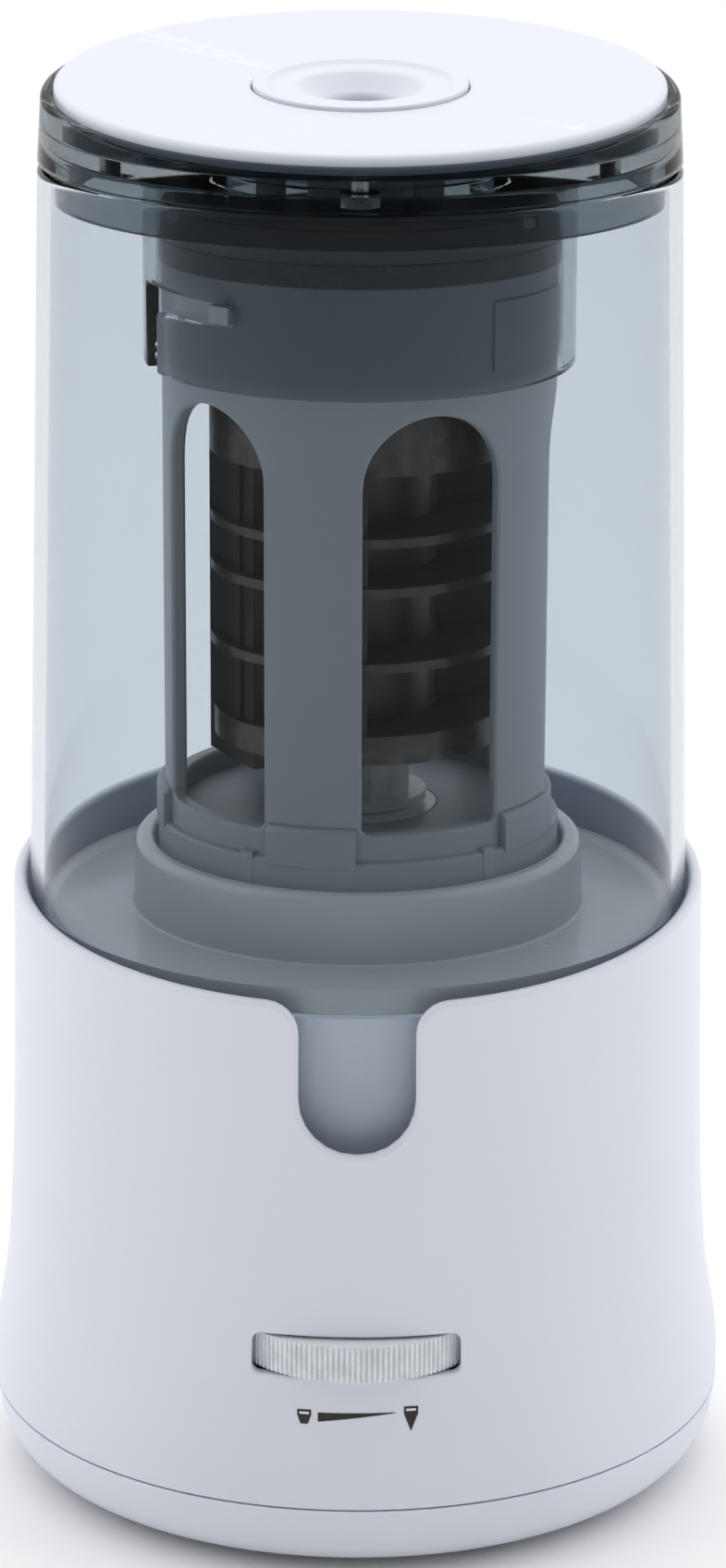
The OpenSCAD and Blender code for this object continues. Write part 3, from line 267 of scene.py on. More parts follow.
def in_outline(x, y, outline):
    inside = False
    count = len(outline)
    for i in range(count):
        x1, y1 = outline[i]
        x2, y2 = outline[(i + 1) % count]
        if (y1 > y) != (y2 > y) and x < (x2 - x1) * (y - y1) / (y2 - y1) + x1:
            inside = not inside
    return inside


def area_of(path):
    return sum(p[0] * q[1] - q[0] * p[1] for p, q in zip(path, path[1:] + path[:1])) / 2


class Edge:
    """One edge of a wrapped wall: its path in (length round the wall, height), and how it is rounded."""

    def __init__(self, path, lip, closed=False, top=False, middle=None, fade=None):
        self.path, self.lip, self.closed, self.top = path, lip, closed, top
        self.middle, self.fade = middle, fade

    def square_to_middle(self, angle, radius, depth):
        """Angle at a depth for an edge that is cut straight through the wall, not towards the axis."""
        if self.middle is None:
            return angle
        across = radius * math.sin(angle - self.middle)
        cut = self.middle + math.asin(max(-1, min(1, across / (radius - depth))))
        if self.fade is None:
            return cut
        near = 1 - min(1, max(0, (abs(angle - self.middle) - self.fade) / self.fade))
        return angle + (cut - angle) * near * near * (3 - 2 * near)


def wrapped_wall(shape, radius, wall, low, high, holes, columns, row_step):
    """Adds a closed round wall with rounded edges and cut-outs; radius gives its outer radius and slope at a height."""
    unit = -low.path[0][0] / math.pi
    edges = [low, high] + holes
    rows = {}
    for edge in edges:
        inside = 1 if edge is low else -1
        if edge.closed:
            inside = -1 if area_of(edge.path) > 0 else 1
        aim = sideways(edge.path, edge.closed, inside)
        if not edge.closed:
            aim[0] = aim[-1] = (aim[0] + aim[-1]).normalized()
        loops = []
        for offset, depth, face, rim in lip_steps(edge.lip, wall):
            loop, flat = [], []
            for (u, z), d in zip(edge.path, aim):
                su, sz = u + d.x * offset, z + d.y * offset
                r, slope = radius(sz)
                a = edge.square_to_middle(su / unit, r, depth)
                ca, sa = math.cos(a), math.sin(a)
                surface = Vector((sa, -ca, -slope)).normalized()
                inward = (Vector((ca, sa, 0)) * d.x + Vector((sa * slope, -ca * slope, 1)) * d.y).normalized()
                rr = r - depth
                loop.append(shape.add((rr * sa, -rr * ca, sz), surface * face - inward * rim))
                flat.append((a * unit, sz))
            loops.append((loop, flat))
        for one, two in zip(loops, loops[1:]):
            shape.strip(one[0], two[0], edge.closed)
        rows[id(edge)] = (loops[0], loops[-1])
    for k, depth in ((0, 0.0), (1, wall)):
        coords, owners, lines = [], [], []

        def take(loop, closed):
            first = len(coords)
            coords.extend(loop[1])
            owners.extend(loop[0])
            count = len(loop[0])
            for i in range(count if closed else count - 1):
                lines.append((first + i, first + (i + 1) % count))
            return loop[1]

        bottom = take(rows[id(low)][k], False)
        top = take(rows[id(high)][k], False)
        gaps = [take(rows[id(h)][k], True) for h in holes]
        outer = list(bottom) + list(reversed(top))
        sign = 1 if depth == 0 else -1

        def face_point(u, z):
            r, slope = radius(z)
            a = u / unit
            normal = Vector((math.sin(a), -math.cos(a), -slope)) * sign
            return shape.add(((r - depth) * math.sin(a), -(r - depth) * math.cos(a), z), normal)

        half = math.pi * unit
        fixed = [Vector(c) for c in coords]
        heights = []
        z = bottom[0][1] + row_step(bottom[0][1])
        while z < top[0][1] - 0.4:
            heights.append(z)
            z += row_step(z)
        for side in (-1, 1):
            start = 0 if side < 0 else len(bottom) - 1
            end = len(bottom) + (0 if side < 0 else len(top) - 1)
            chain = [start]
            for z in heights:
                coords.append((side * half, z))
                owners.append(face_point(side * half, z))
                chain.append(len(coords) - 1)
            chain.append(end)
            lines.extend(zip(chain, chain[1:]))
        space = TURN * unit / columns
        tall = list(heights)
        z = top[0][1]
        peak = max(p[1] for p in top)
        while z < peak:
            tall.append(z)
            z += row_step(z)
        cells = {}
        for f in fixed:
            cells.setdefault((int(f.x // space), int(f.y // space)), []).append(f)
        for column in range(1, columns):
            u = -half + column * space
            for z in tall:
                cell = (int(u // space), int(z // space))
                near = [
                    f
                    for dx in (-1, 0, 1)
                    for dy in (-1, 0, 1)
                    for f in cells.get((cell[0] + dx, cell[1] + dy), ())
                ]
                if any((f.x - u) ** 2 + (f.y - z) ** 2 < (0.45 * space) ** 2 for f in near):
                    continue
                if not in_outline(u, z, outer) or any(in_outline(u, z, g) for g in gaps):
                    continue
                coords.append((u, z))
                owners.append(face_point(u, z))
        verts, _, tris, origins, _, _ = delaunay_2d_cdt([Vector(c) for c in coords], lines, [], 0, 1e-6)
        index = []
        for v, source in zip(verts, origins):
            index.append(owners[source[0]] if source else face_point(v.x, v.y))
        for tri in tris:
            cx = sum(verts[i].x for i in tri) / 3
            cy = sum(verts[i].y for i in tri) / 3
            if in_outline(cx, cy, outer) and not any(in_outline(cx, cy, g) for g in gaps):
                shape.faces.append(tuple(index[i] for i in tri))


def round_path(corners, closed, unit, middle=0.0, step=1.6):
    """Path on a wall from corners given as (distance across, height, corner radius), cut straight at an angle."""
    plain = [(p[0], p[1]) for p in rounded([(*c, 0) for c in corners], closed)]
    path = []
    for x, z in refined(plain, closed, step):
        path.append((middle * unit + unit * math.asin(max(-1, min(1, x / unit))), z))
    return path


def level_path(unit, z, columns):
    return [(-math.pi * unit + TURN * unit * i / columns, z) for i in range(columns + 1)]


def bent_block(shape_bm, r0, r1, a0, a1, z0, z1, top_in=0.0):
    """Adds a block that follows the wall between two angles; its outer top edge may be chamfered."""
    parts = max(2, math.ceil(abs(a1 - a0) / math.radians(4)))
    rings = []
    for i in range(parts + 1):
        a = a0 + (a1 - a0) * i / parts
        sa, ca = math.sin(a), -math.cos(a)
        section = [(r0, z0), (r1, z0), (r1, z1 - top_in), (r1 - top_in, z1), (r0, z1)]
        if top_in == 0:
            section.pop(3)
        rings.append([shape_bm.verts.new((r * sa * MM, r * ca * MM, z * MM)) for r, z in section])
    count = len(rings[0])
    for one, two in zip(rings, rings[1:]):
        for k in range(count):
            j = (k + 1) % count
            shape_bm.faces.new((one[k], two[k], two[j], one[j]))
    shape_bm.faces.new(rings[0])
    shape_bm.faces.new(list(reversed(rings[-1])))


def blocks(name, makers, bevel):
    """One object from several blocks, with softened edges."""
    bm = bmesh.new()
    for make in makers:
        make(bm)
    bmesh.ops.recalc_face_normals(bm, faces=bm.faces)
    edges = [e for e in bm.edges if len(e.link_faces) == 2 and e.calc_face_angle() > math.radians(30)]
    bmesh.ops.bevel(bm, geom=edges, offset=bevel * MM, segments=2, profile=0.5, affect="EDGES", clamp_overlap=True)
    mesh = bpy.data.meshes.new(name)
    bm.to_mesh(mesh)
    bm.free()
    return crisp(name, mesh)


def crisp(name, mesh):
    """Object with smooth faces, kept edges and evenly weighted shading."""
    mesh.shade_smooth()
    mesh.set_sharp_from_angle(angle=math.radians(35))
    piece = bpy.data.objects.new(name, mesh)
    bpy.context.scene.collection.objects.link(piece)
    weigh = piece.modifiers.new("Even shading", "WEIGHTED_NORMAL")
    weigh.keep_sharp = True
    return piece


def cut_away(piece, cutters, name):
    """New object: the piece with the cutters taken out of it."""
    for cutter in cutters:
        cut = piece.modifiers.new("Cut", "BOOLEAN")
        cut.operation, cut.solver, cut.object = "DIFFERENCE", "EXACT", cutter
    bpy.context.view_layer.update()
    mesh = bpy.data.meshes.new_from_object(piece.evaluated_get(bpy.context.evaluated_depsgraph_get()))
    mesh.name = name
    for old in [piece, *cutters]:
        bpy.data.objects.remove(old)
    return crisp(name, mesh)


def box_cutter(low, high):
    bm = bmesh.new()
    made = bmesh.ops.create_cube(bm, size=1)["verts"]
    for v in made:
        v.co = Vector(((low[i] + (high[i] - low[i]) * (v.co[i] + 0.5)) * MM for i in range(3)))
    mesh = bpy.data.meshes.new("cutter")
    bm.to_mesh(mesh)
    bm.free()
    piece = bpy.data.objects.new("cutter", mesh)
    bpy.context.scene.collection.objects.link(piece)
    return piece


def dress(piece, body, material, slot, *stood_for):
    """Gives a piece its finish, its body and the CAD nodes it stands for."""
    piece.data.materials.clear()
    piece.data.materials.append(material)
    if stood_for:
        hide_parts(*stood_for)
    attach(piece, body)
    return piece


# ---------------------------------------------------------------- finishes
def new_group(name, inputs, outputs):
    group = bpy.data.node_groups.new(name, "ShaderNodeTree")
    for label, value in inputs:
        kind = "NodeSocketColor" if isinstance(value, tuple) else "NodeSocketFloat"
        group.interface.new_socket(label, in_out="INPUT", socket_type=kind).default_value = value
    for label, kind in outputs:
        group.interface.new_socket(label, in_out="OUTPUT", socket_type=kind)
    return group, group.nodes.new("NodeGroupInput"), group.nodes.new("NodeGroupOutput")


def node(tree, kind, **settings):
    made = tree.nodes.new(kind)
    for key, value in settings.items():
        if key in made.inputs:
            made.inputs[key].default_value = value
        else:
            setattr(made, key, value)
    return made


def sums(tree, operation, first, second, clamp=False):
    made = tree.nodes.new("ShaderNodeMath")
    made.operation, made.use_clamp = operation, clamp
    for socket, value in zip(made.inputs, (first, second)):
        if isinstance(value, (int, float)):
            socket.default_value = value
        else:
            tree.links.new(value, socket)
    return made.outputs[0]


def spread(tree, value, low, high, to_low=0.0, to_high=1.0):
    made = tree.nodes.new("ShaderNodeMapRange")
    made.interpolation_type = "SMOOTHSTEP"
    tree.links.new(value, made.inputs["Value"])
    for key, number in (("From Min", low), ("From Max", high), ("To Min", to_low), ("To Max", to_high)):
        made.inputs[key].default_value = number
    return made.outputs["Result"]


def moulded_grain_group():
    """Fine texture of moulded plastic: a height, and a slow change of tone."""
    group, into, out = new_group(
        "Moulded grain",
        [("Grain size", 0.35), ("Tone size", 30.0), ("Tone change", 0.02)],
        [("Height", "NodeSocketFloat"), ("Tone", "NodeSocketFloat"), ("Patch", "NodeSocketFloat")],
    )
    place = node(group, "ShaderNodeTexCoord")
    fine = node(group, "ShaderNodeTexNoise", Detail=3.0, Roughness=0.6)
    slow = node(group, "ShaderNodeTexNoise", Detail=2.0, Roughness=0.5)
    group.links.new(place.outputs["Object"], fine.inputs["Vector"])
    group.links.new(place.outputs["Object"], slow.inputs["Vector"])
    group.links.new(sums(group, "DIVIDE", 1000.0, into.outputs["Grain size"]), fine.inputs["Scale"])
    group.links.new(sums(group, "DIVIDE", 1000.0, into.outputs["Tone size"]), slow.inputs["Scale"])
    group.links.new(fine.outputs["Fac"], out.inputs["Height"])
    swing = sums(group, "MULTIPLY", sums(group, "SUBTRACT", slow.outputs["Fac"], 0.5), into.outputs["Tone change"])
    group.links.new(sums(group, "ADD", 1.0, sums(group, "MULTIPLY", swing, 2.0)), out.inputs["Tone"])
    group.links.new(slow.outputs["Fac"], out.inputs["Patch"])
    return group


def edge_wear_group():
    """Mask of the edges that hands and tools rub."""
    group, into, out = new_group(
        "Edge wear", [("Start", 0.52), ("End", 0.62), ("Breakup size", 1.5)], [("Mask", "NodeSocketFloat")]
    )
    shape = node(group, "ShaderNodeNewGeometry")
    place = node(group, "ShaderNodeTexCoord")
    broken = node(group, "ShaderNodeTexNoise", Detail=4.0)
    group.links.new(place.outputs["Object"], broken.inputs["Vector"])
    group.links.new(sums(group, "DIVIDE", 1000.0, into.outputs["Breakup size"]), broken.inputs["Scale"])
    ramp = group.nodes.new("ShaderNodeMapRange")
    group.links.new(shape.outputs["Pointiness"], ramp.inputs["Value"])
    group.links.new(into.outputs["Start"], ramp.inputs["From Min"])
    group.links.new(into.outputs["End"], ramp.inputs["From Max"])
    patchy = spread(group, broken.outputs["Fac"], 0.35, 0.6)
    group.links.new(sums(group, "MULTIPLY", ramp.outputs["Result"], patchy, True), out.inputs["Mask"])
    return group


def fine_scratches_group():
    """Mask of hairline scratches that run in all directions."""
    group, into, out = new_group("Fine scratches", [("Length", 12.0), ("Amount", 0.5)], [("Mask", "NodeSocketFloat")])
    place = node(group, "ShaderNodeTexCoord")
    total = None
    for turn in (0.4, 1.9):
        lay = node(group, "ShaderNodeMapping")
        lay.inputs["Rotation"].default_value = (turn, turn * 0.7, turn * 1.3)
        lay.inputs["Scale"].default_value = (40.0, 1.0, 1.0)
        streak = node(group, "ShaderNodeTexNoise", Detail=2.0, Roughness=0.5)
        group.links.new(place.outputs["Object"], lay.inputs["Vector"])
        group.links.new(lay.outputs["Vector"], streak.inputs["Vector"])
        group.links.new(sums(group, "DIVIDE", 1000.0, into.outputs["Length"]), streak.inputs["Scale"])
        line = spread(group, streak.outputs["Fac"], 0.68, 0.74)
        total = line if total is None else sums(group, "MAXIMUM", total, line)
    group.links.new(sums(group, "MULTIPLY", total, into.outputs["Amount"], True), out.inputs["Mask"])
    return group


def settled_dust_group():
    """Mask of wood and lead dust that lies on level faces between two heights, and its colour."""
    group, into, out = new_group(
        "Settled dust",
        [
            ("Lowest", 0.0),
            ("Highest", 1.0),
            ("Amount", 0.5),
            ("Wood colour", (0.32, 0.22, 0.11, 1.0)),
            ("Lead colour", (0.05, 0.05, 0.05, 1.0)),
        ],
        [("Mask", "NodeSocketFloat"), ("Colour", "NodeSocketColor")],
    )
    shape = node(group, "ShaderNodeNewGeometry")
    place = node(group, "ShaderNodeTexCoord")
    level = node(group, "ShaderNodeSeparateXYZ")
    height = node(group, "ShaderNodeSeparateXYZ")
    group.links.new(shape.outputs["Normal"], level.inputs[0])
    group.links.new(place.outputs["Object"], height.inputs[0])
    grains = node(group, "ShaderNodeTexNoise", Scale=1500.0, Detail=4.0, Roughness=0.7)
    drift = node(group, "ShaderNodeTexNoise", Scale=90.0, Detail=3.0)
    mix_tone = node(group, "ShaderNodeTexNoise", Scale=900.0, Detail=1.0)
    for texture in (grains, drift, mix_tone):
        group.links.new(place.outputs["Object"], texture.inputs["Vector"])
    flat = spread(group, level.outputs["Z"], 0.9, 0.99)
    over = sums(group, "GREATER_THAN", height.outputs["Z"], into.outputs["Lowest"])
    under = sums(group, "LESS_THAN", height.outputs["Z"], into.outputs["Highest"])
    speck = spread(group, grains.outputs["Fac"], 0.55, 0.66)
    patch = spread(group, drift.outputs["Fac"], 0.35, 0.75, 0.25, 1.0)
    mask = sums(group, "MULTIPLY", sums(group, "MULTIPLY", flat, over), sums(group, "MULTIPLY", under, speck))
    mask = sums(group, "MULTIPLY", sums(group, "MULTIPLY", mask, patch), into.outputs["Amount"], True)
    group.links.new(mask, out.inputs["Mask"])
    tone = group.nodes.new("ShaderNodeMix")
    tone.data_type = "RGBA"
    group.links.new(spread(group, mix_tone.outputs["Fac"], 0.5, 0.6), tone.inputs["Factor"])
    group.links.new(into.outputs["Wood colour"], tone.inputs["A"])
    group.links.new(into.outputs["Lead colour"], tone.inputs["B"])
    group.links.new(tone.outputs["Result"], out.inputs["Colour"])
    return group


class Workshop:
    """The shared effects and the finishes made with them."""

    def __init__(self):
        self.grain = moulded_grain_group()
        self.wear = edge_wear_group()
        self.scratches = fine_scratches_group()
        self.dust = settled_dust_group()

    def start(self, name):
        material = bpy.data.materials.new(name)
        material.use_nodes = True
        tree = material.node_tree
        return material, tree, tree.nodes["Principled BSDF"]

    def use(self, tree, group, **values):
        made = tree.nodes.new("ShaderNodeGroup")
        made.node_tree = group
        for key, value in values.items():
            made.inputs[key.replace("_", " ")].default_value = value
        return made

    def blend(self, tree, factor, first, second):
        made = tree.nodes.new("ShaderNodeMix")
        made.data_type = "RGBA"
        tree.links.new(factor, made.inputs["Factor"])
        for socket, value in ((made.inputs["A"], first), (made.inputs["B"], second)):
            if isinstance(value, tuple):
                socket.default_value = value
            else:
                tree.links.new(value, socket)
        return made.outputs["Result"]

    def toned(self, tree, colour, tone):
        made = tree.nodes.new("ShaderNodeVectorMath")
        made.operation = "SCALE"
        made.inputs[0].default_value = colour[:3]
        tree.links.new(tone, made.inputs["Scale"])
        return made.outputs["Vector"]

    def plastic(
        self, name, colour, rough, worn=None, grain_size=0.3, grain_depth=0.004, marks=0.04, lets=None, **shader_values
    ):
        """Moulded plastic with grain, slow tone change, hairlines and rubbed edges; lets is the light it passes."""
        material, tree, shader = self.start(name)
        for key, value in shader_values.items():
            shader.inputs[key.replace("_", " ")].default_value = value
        grain = self.use(tree, self.grain, Grain_size=grain_size, Tone_size=25.0, Tone_change=0.03)
        scratch = self.use(tree, self.scratches, Length=14.0, Amount=0.6)
        wear = self.use(tree, self.wear, Start=0.53, End=0.64)
        base = self.toned(tree, colour, grain.outputs["Tone"])
        rubbed = worn or tuple(min(1.0, c * 1.12 + 0.02) for c in colour[:3]) + (1.0,)
        tree.links.new(self.blend(tree, wear.outputs["Mask"], base, rubbed), shader.inputs["Base Color"])
        patch = spread(tree, grain.outputs["Patch"], 0.3, 0.7, rough * 0.9, rough * 1.12)
        tree.links.new(
            sums(tree, "SUBTRACT", sums(tree, "ADD", patch, sums(tree, "MULTIPLY", scratch.outputs["Mask"], marks)),
                 sums(tree, "MULTIPLY", wear.outputs["Mask"], 0.08), True),
            shader.inputs["Roughness"],
        )
        bump = node(tree, "ShaderNodeBump", Strength=0.35, Distance=grain_depth * MM * 4)
        tree.links.new(grain.outputs["Height"], bump.inputs["Height"])
        tree.links.new(bump.outputs["Normal"], shader.inputs["Normal"])
        if lets:
            self.let_light_by(tree, shader, lets)
        return material

    def let_light_by(self, tree, shader, tint):
        """Let lamp light and bounced light through without bending."""
        lets_by = node(tree, "ShaderNodeBsdfTransparent")
        lets_by.inputs["Color"].default_value = tint
        path = node(tree, "ShaderNodeLightPath")
        mixed = node(tree, "ShaderNodeMixShader")
        either = sums(tree, "MAXIMUM", path.outputs["Is Shadow Ray"], path.outputs["Is Diffuse Ray"])
        tree.links.new(either, mixed.inputs["Fac"])
        tree.links.new(shader.outputs["BSDF"], mixed.inputs[1])
        tree.links.new(lets_by.outputs["BSDF"], mixed.inputs[2])
        tree.links.new(mixed.outputs["Shader"], tree.nodes["Material Output"].inputs["Surface"])

    def metal(self, name, colour, rough, brushed=0.5):
        """Machined metal with a brushed grain and darker, rougher marks."""
        material, tree, shader = self.start(name)
        shader.inputs["Metallic"].default_value = 1.0
        grain = self.use(tree, self.grain, Grain_size=0.12, Tone_size=6.0, Tone_change=0.12)
        scratch = self.use(tree, self.scratches, Length=5.0, Amount=brushed)
        base = self.toned(tree, colour, grain.outputs["Tone"])
        dull = tuple(c * 0.6 for c in colour[:3]) + (1.0,)
        tree.links.new(self.blend(tree, scratch.outputs["Mask"], base, dull), shader.inputs["Base Color"])
        patch = spread(tree, grain.outputs["Patch"], 0.3, 0.7, rough * 0.75, rough * 1.35)
        tree.links.new(patch, shader.inputs["Roughness"])
        bump = node(tree, "ShaderNodeBump", Strength=0.25, Distance=0.01 * MM)
        tree.links.new(scratch.outputs["Mask"], bump.inputs["Height"])
        tree.links.new(bump.outputs["Normal"], shader.inputs["Normal"])
        return material

    def clear(self, name, colour, edge_colour, rough, dust=None, ior=1.16):
        """Clear plastic that lets lamp light through, deeper in tone where it is seen edge on."""
        material, tree, shader = self.start(name)
        shader.inputs["Transmission Weight"].default_value = 1.0
        shader.inputs["IOR"].default_value = ior
        grain = self.use(tree, self.grain, Grain_size=0.8, Tone_size=18.0, Tone_change=0.02)
        scratch = self.use(tree, self.scratches, Length=20.0, Amount=0.5)
        facing = node(tree, "ShaderNodeLayerWeight", Blend=0.35)
        tint = self.toned(tree, colour, grain.outputs["Tone"])
        tint = self.blend(tree, spread(tree, facing.outputs["Facing"], 0.25, 0.95), tint, edge_colour)
        gloss = sums(tree, "MULTIPLY", scratch.outputs["Mask"], 0.06)
        if dust:
            settled = self.use(tree, self.dust, Lowest=dust[0] * MM, Highest=dust[1] * MM, Amount=dust[2])
            tint = self.blend(tree, settled.outputs["Mask"], tint, settled.outputs["Colour"])
            gloss = sums(tree, "ADD", gloss, sums(tree, "MULTIPLY", settled.outputs["Mask"], 0.6))
        inside = node(tree, "ShaderNodeNewGeometry").outputs["Backfacing"]
        tree.links.new(self.blend(tree, inside, tint, (1.0, 1.0, 1.0, 1.0)), shader.inputs["Base Color"])
        tree.links.new(sums(tree, "ADD", gloss, rough, True), shader.inputs["Roughness"])
        self.let_light_by(tree, shader, tuple(c**0.25 for c in colour[:3]) + (1.0,))
        return material


def shown(value):
    """Linear colour from one as it is seen, 0 to 255."""
    made = []
    for c in value:
        c = c / 255
        made.append(c / 12.92 if c <= 0.04045 else ((c + 0.055) / 1.055) ** 2.4)
    return (*made, 1.0)


# ---------------------------------------------------------------- settings
def length(name, about, value, low=0.0):
    return bpy.props.FloatProperty(name=name, description=about, default=value, min=low, unit="NONE", subtype="NONE")


def angle(name, about, degrees):
    return bpy.props.FloatProperty(
        name=name, description=about, default=math.radians(degrees), subtype="ANGLE", unit="ROTATION"
    )


def colour(name, about, seen):
    return bpy.props.FloatVectorProperty(
        name=name, description=about, default=shown(seen), size=4, min=0.0, max=1.0, subtype="COLOR_GAMMA"
    )


class SharpenerBaseSizes(bpy.types.PropertyGroup):
    wall: length("Base wall", "Wall thickness of the white base, in millimetres", 1.6, 0.5)
    flare: length(
        "Flare", "How much the base widens from rim to widest circle, in millimetres", base_high.x - shell_high.x - 1.9
    )
    rim_lip: length("Rim edge", "Radius of the rounded edge of the rim, in millimetres", 0.75, 0.1)
    notch_width: length("Notch width", "Width of the finger notch, in millimetres", 13.3, 1.0)
    notch_low: length("Notch bottom", "Height of the bottom of the finger notch, in millimetres", 51.6)
    notch_corner: length("Notch corner", "Radius of the notch's top corners, in millimetres", 6.0, 1.0)
    slot_width: length("Dial slot width", "Width of the slot for the dial, in millimetres", 23.3, 1.0)
    slot_height: length("Dial slot height", "Height of the slot for the dial, in millimetres", 4.8, 1.0)
    inlet_turn: angle("Inlet direction", "Direction of the power inlet round the base, from the front", 150)


class SharpenerShellSizes(bpy.types.PropertyGroup):
    wall: length("Shell wall", "Wall thickness of the clear shell, in millimetres", 1.6, 0.5)
    floor: length("Floor height", "Height of the top of the shavings box floor, in millimetres", 69.3)
    floor_thickness: length("Floor thickness", "Thickness of the shavings box floor, in millimetres", 2.2, 0.5)
    collar: length("Collar radius", "Outer radius of the collar on the floor, in millimetres", 26.6)
    collar_height: length("Collar height", "Height of the collar above the floor, in millimetres", 8.3)


class SharpenerLidSizes(bpy.types.PropertyGroup):
    slope: angle("Lid slope", "Forward slope of the lid", 5.3)
    sleeve: length("Sleeve radius", "Outer radius of the sleeve that holds the cage, in millimetres", 24.9)
    sleeve_wall: length("Sleeve wall", "Wall thickness of the sleeve, in millimetres", 1.5, 0.5)
    shelf: length("Shelf height", "Height of the underside of the lid's shelf, in millimetres", 158.6)
    shelf_thickness: length("Shelf thickness", "Thickness of the lid's shelf, in millimetres", 1.8, 0.5)
    guide: length("Guide radius", "Radius of the raised ring round the pencil hole, in millimetres", 12.3)
    hole: length("Pencil hole", "Radius of the pencil hole, in millimetres", 4.2, 1.0)
    proud: length("Plate height", "How far the top plate stands above the ring, in millimetres", 1.1)


class SharpenerCageSizes(bpy.types.PropertyGroup):
    radius: length("Cage radius", "Outer radius of the cutter cage, in millimetres", cage_high.x - 0.8)
    wall: length("Cage wall", "Wall thickness of the cutter cage, in millimetres", 2.0, 0.5)
    windows: bpy.props.IntProperty(name="Windows", description="Number of arched windows", default=5, min=2, max=9)
    window_angle: angle("Window width", "Width of one arched window round the cage", 42)
    window_turn: angle("Window turn", "Direction of the first window, from the front", 22.4)
    sill: length("Sill height", "Height of the sill under the windows, in millimetres", 83.7)
    window_top: length("Window top", "Height of the top of the arches, in millimetres", 132.0)


class SharpenerFinishes(bpy.types.PropertyGroup):
    white: colour("White plastic", "Colour of the white base, top plate and guide", (223, 226, 235))
    # Painted light: the inner white is set lighter than the outer white, so the shaded parts inside the base come out
    # brighter.
    inner_white_painted_light: colour("Inner white with painted light", "Colour of the white parts inside the base", (238, 240, 245))
    clear: colour("Clear shell", "Tint of the clear shell", (190, 199, 208))
    smoked: colour("Smoked lid", "Tint of the smoked lid ring", (60, 70, 75))
    sleeve: colour("Smoked sleeve", "Tint of the sleeve that holds the cage", (160, 167, 171))
    cage: colour("Cage grey", "Colour of the cutter cage", (134, 140, 143))
    ink: colour("Symbol ink", "Colour of the printed symbols", (35, 27, 25))


class SharpenerStage(bpy.types.PropertyGroup):
    distance: bpy.props.FloatProperty(
        name="Distance", description="Distance of the camera in front of the object", default=0.545, unit="LENGTH"
    )
    height: bpy.props.FloatProperty(name="Height", description="Height of the camera", default=0.2464, unit="LENGTH")
    pitch: angle("Pitch", "How far the camera looks down", 16.69)
    roll: angle("Roll", "Turn of the camera about its own axis", -0.2)
    lens: bpy.props.FloatProperty(name="Lens", description="Focal length of the camera", default=110.3, unit="CAMERA")
    floor: colour("Floor", "Colour of the floor", (250, 250, 250))


def settings():
    return bpy.context.scene.sharpener


class SharpenerSettings(bpy.types.PropertyGroup):
    base: bpy.props.PointerProperty(type=SharpenerBaseSizes, name="Base", description="Sizes of the white base")
    shell: bpy.props.PointerProperty(type=SharpenerShellSizes, name="Shell", description="Sizes of the clear shell")
    lid: bpy.props.PointerProperty(type=SharpenerLidSizes, name="Lid", description="Sizes of the lid")
    cage: bpy.props.PointerProperty(type=SharpenerCageSizes, name="Cage", description="Sizes of the cutter cage")
    finish: bpy.props.PointerProperty(type=SharpenerFinishes, name="Finishes", description="Colours of the finishes")
    stage: bpy.props.PointerProperty(type=SharpenerStage, name="Stage", description="Camera and floor")


FLARE_SHAPE = [
    (0.1, 1.0), (4, 0.99), (7.5, 0.88), (11, 0.69), (15, 0.5), (21, 0.345),
    (29, 0.22), (39, 0.125), (50, 0.06), (60, 0.02), (75, 0.0),
]


def finish_named(name):
    return bpy.data.materials[name]


# ---------------------------------------------------------------- operators
class SHARPENER_OT_finishes(bpy.types.Operator):
    """Make the finishes of every part"""

    bl_idname = "sharpener.finishes"
    bl_label = "Finishes"

    def execute(self, context):
        made = settings().finish
        shop = Workshop()
        shop.plastic(
            "White plastic", tuple(made.white), 0.34, grain_size=0.25, marks=0.0, Coat_Weight=0.15, Coat_Roughness=0.2
        )
        # Painted light: this white is lighter than the outer white, to brighten the shaded parts inside the base.
        shop.plastic("Inner white with painted light", tuple(made.inner_white_painted_light), 0.42)
        shop.plastic(
            "Frosted floor", shown((180, 184, 184)), 0.32, lets=(0.85, 0.87, 0.89, 1.0),
            Coat_Weight=0.3, Coat_Roughness=0.1,
        )
        shop.plastic("Cage grey", tuple(made.cage), 0.38, grain_size=0.4, grain_depth=0.006)
        shop.plastic("Black plastic", shown((26, 27, 29)), 0.35)
        shop.plastic("Carrier brown", shown((38, 33, 31)), 0.4, worn=shown((70, 62, 57)), grain_size=0.5)
        shop.plastic("Dark lid plastic", shown((62, 68, 71)), 0.4)
        shop.plastic("Rubber", shown((52, 53, 55)), 0.75, grain_size=0.6)
        shop.plastic("Gear plastic", shown((232, 228, 212)), 0.45)
        shop.plastic("Dial plastic", shown((222, 225, 229)), 0.3, Subsurface_Weight=0.1, Subsurface_Scale=0.8 * MM)
        shop.plastic("Hub plastic", shown((205, 210, 210)), 0.25, Subsurface_Weight=0.5, Subsurface_Scale=1.5 * MM)
        shop.plastic("Cell jacket", shown((62, 82, 96)), 0.3, grain_size=0.2)
        shop.plastic("Board green", shown((32, 92, 58)), 0.4)
        shop.plastic("Lead red", shown((176, 38, 32)), 0.4)
        shop.plastic("Symbol ink", tuple(made.ink), 0.5, grain_size=0.15)
        shop.metal("Steel", shown((196, 198, 200)), 0.3)
        shop.metal("Cutter steel", shown((128, 129, 132)), 0.34, 0.9)
        shop.metal("Bronze", shown((196, 164, 108)), 0.36)
        floor = settings().shell.floor
        shop.clear("Clear shell", tuple(made.clear), shown((172, 181, 191)), 0.0, (floor - 0.3, floor + 0.6, 0.8))
        shop.clear("Smoked lid", tuple(made.smoked), shown((48, 54, 58)), 0.02, ior=1.1)
        shop.clear("Smoked sleeve", tuple(made.sleeve), shown((118, 126, 131)), 0.02)
        return {"FINISHED"}


